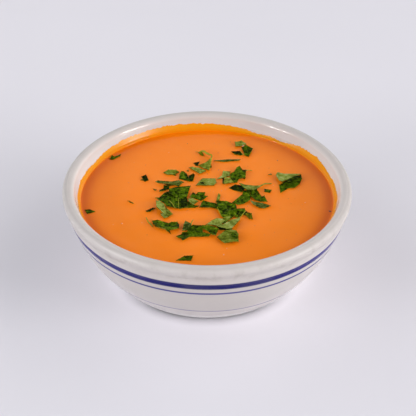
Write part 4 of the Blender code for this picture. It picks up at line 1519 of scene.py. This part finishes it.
def room_light(studio):
    """Light from the room: bright walls on both sides, a pale backdrop behind, and a dim ceiling."""
    world = bpy.data.worlds.new("soft_room")
    world.use_nodes = True
    nodes = Nodes(world.node_tree)
    across, depth, up = nodes.split(nodes.add("ShaderNodeTexCoord").outputs["Generated"])
    near, far = WALL_EDGE
    left = nodes.fade(across, -far, -near, studio.left_wall, 0.0)
    right = nodes.fade(across, near, far, 0.0, studio.right_wall)
    front = nodes.fade(depth, -far, -near, studio.front_wall, 0.0)
    walls = nodes.product(nodes.total(nodes.total(left, right), nodes.total(front, studio.walls)),
                          nodes.fade(up, *CEILING_EDGE, 1.0, 0.0))
    dip = nodes.product(nodes.fade(up, *DIP_START), nodes.fade(up, *DIP_END, studio.dip, 0.0))
    panel = nodes.fade(up, *BACKDROP_EDGE, studio.backdrop, studio.above_backdrop)
    behind = nodes.product(nodes.fade(depth, *BACKDROP_START), nodes.math("SUBTRACT", panel, dip))
    light = nodes.total(walls, behind, studio.ceiling)
    cool = nodes.mix(nodes.fade(across, -far, -near, 1.0, 0.0), (1.0, 1.0, 1.0), studio.left_tint)
    background = world.node_tree.nodes["Background"]
    nodes.feed(background.inputs["Strength"], nodes.math("MAXIMUM", light, studio.ceiling / 2))
    nodes.feed(background.inputs["Color"], cool)
    return world


def table_material(studio, bowl):
    """A pale, matt table top, with painted shadow in front of where the bowl stands on it."""
    material, nodes, shader, place = new_material("table_top")
    x, y, _ = nodes.split(place)
    tone = nodes.fade(nodes.noise(place, 3.0), 0.3, 0.7)
    colour = nodes.mix(tone, studio.table, tuple(channel * TABLE_UNEVENNESS for channel in studio.table))
    edge = bowl.foot_radius
    # painted shadow in front of the bowl's foot
    painted_contact_shadow = nodes.product(
        nodes.fade(nodes.radius(x, y), edge, edge + TABLE_SHADE_REACH, TABLE_SHADE, 0.0),
        nodes.fade(y, -edge, 0.0, 1.0, 0.0),
    )
    nodes.feed(shader.inputs["Base Color"], nodes.mix(painted_contact_shadow, colour, BLACK))
    shader.inputs["Roughness"].default_value = 0.8
    shader.inputs["Specular IOR Level"].default_value = 0.2
    return material


class SOUPBOWL_OT_stage(bpy.types.Operator):
    """Set the table, the light and the camera"""
    bl_idname = "soupbowl.stage"
    bl_label = "Stage"

    def execute(self, context):
        studio = context.scene.soup_studio
        deselect_all()
        bpy.ops.mesh.primitive_plane_add(size=8.0, location=(0.0, 0.0, 0.0))
        table = bpy.context.object
        table.name = "table_top"
        table.data.materials.append(table_material(studio, context.scene.soup_bowl))

        softbox("softbox_left", *LEFT_LAMP, studio.left_power)
        softbox("softbox_right", *RIGHT_LAMP, studio.right_power)
        for lamp in GLINT_LAMPS:
            softbox("glint", *lamp, studio.glint_power).visible_diffuse = False
        context.scene.world = room_light(studio)
        context.scene.view_settings.view_transform = "Standard"

        rim_middle = Vector((0.0, 0.0, BOWL_HEIGHT))
        back = Vector((0.0, -math.cos(studio.elevation), math.sin(studio.elevation)))
        lens = bpy.data.cameras.new("camera")
        lens.lens = studio.lens
        lens.clip_start = 0.01
        camera = bpy.data.objects.new("camera", lens)
        context.scene.collection.objects.link(camera)
        camera.location = rim_middle + back * studio.distance
        aim = rim_middle + Vector(AIM)
        camera.rotation_euler = (camera.location - aim).to_track_quat("Z", "Y").to_euler()
        camera.rotation_euler.rotate_axis("Z", studio.roll)
        context.scene.camera = camera
        return {"FINISHED"}


class SOUPBOWL_PT_panel(bpy.types.Panel):
    """Lists the settings and the pieces in the 3D view's sidebar"""
    bl_label = "Tomato Soup Bowl"
    bl_idname = "SOUPBOWL_PT_panel"
    bl_space_type = "VIEW_3D"
    bl_region_type = "UI"
    bl_category = "Soup"

    def draw(self, context):
        for operator in OPERATORS:
            self.layout.operator(operator.bl_idname)
        for holder in ("soup_bowl", "soup_fill", "soup_parsley", "soup_studio"):
            box = self.layout.box()
            settings = getattr(context.scene, holder)
            for name in settings.bl_rna.properties.keys():
                if name not in ("rna_type", "name"):
                    box.prop(settings, name)


SETTINGS = {
    "soup_bowl": BowlSettings,
    "soup_fill": SoupSettings,
    "soup_parsley": ParsleySettings,
    "soup_studio": StudioSettings,
}
OPERATORS = (SOUPBOWL_OT_bowl, SOUPBOWL_OT_soup, SOUPBOWL_OT_film, SOUPBOWL_OT_leaves,
             SOUPBOWL_OT_stalks, SOUPBOWL_OT_crumbs, SOUPBOWL_OT_stage)


def register():
    for kind in (*SETTINGS.values(), *OPERATORS, SOUPBOWL_PT_panel):
        bpy.utils.register_class(kind)
    for holder, kind in SETTINGS.items():
        setattr(bpy.types.Scene, holder, bpy.props.PointerProperty(type=kind))


def unregister():
    for holder in SETTINGS:
        delattr(bpy.types.Scene, holder)
    for kind in reversed((*SETTINGS.values(), *OPERATORS, SOUPBOWL_PT_panel)):
        bpy.utils.unregister_class(kind)


def main():
    register()
    bpy.ops.soupbowl.bowl()
    bpy.ops.soupbowl.soup()
    bpy.ops.soupbowl.film()
    bpy.ops.soupbowl.leaves()
    bpy.ops.soupbowl.stalks()
    bpy.ops.soupbowl.crumbs()
    bpy.ops.soupbowl.stage()
    deselect_all()


if __name__ == "__main__":
    main()
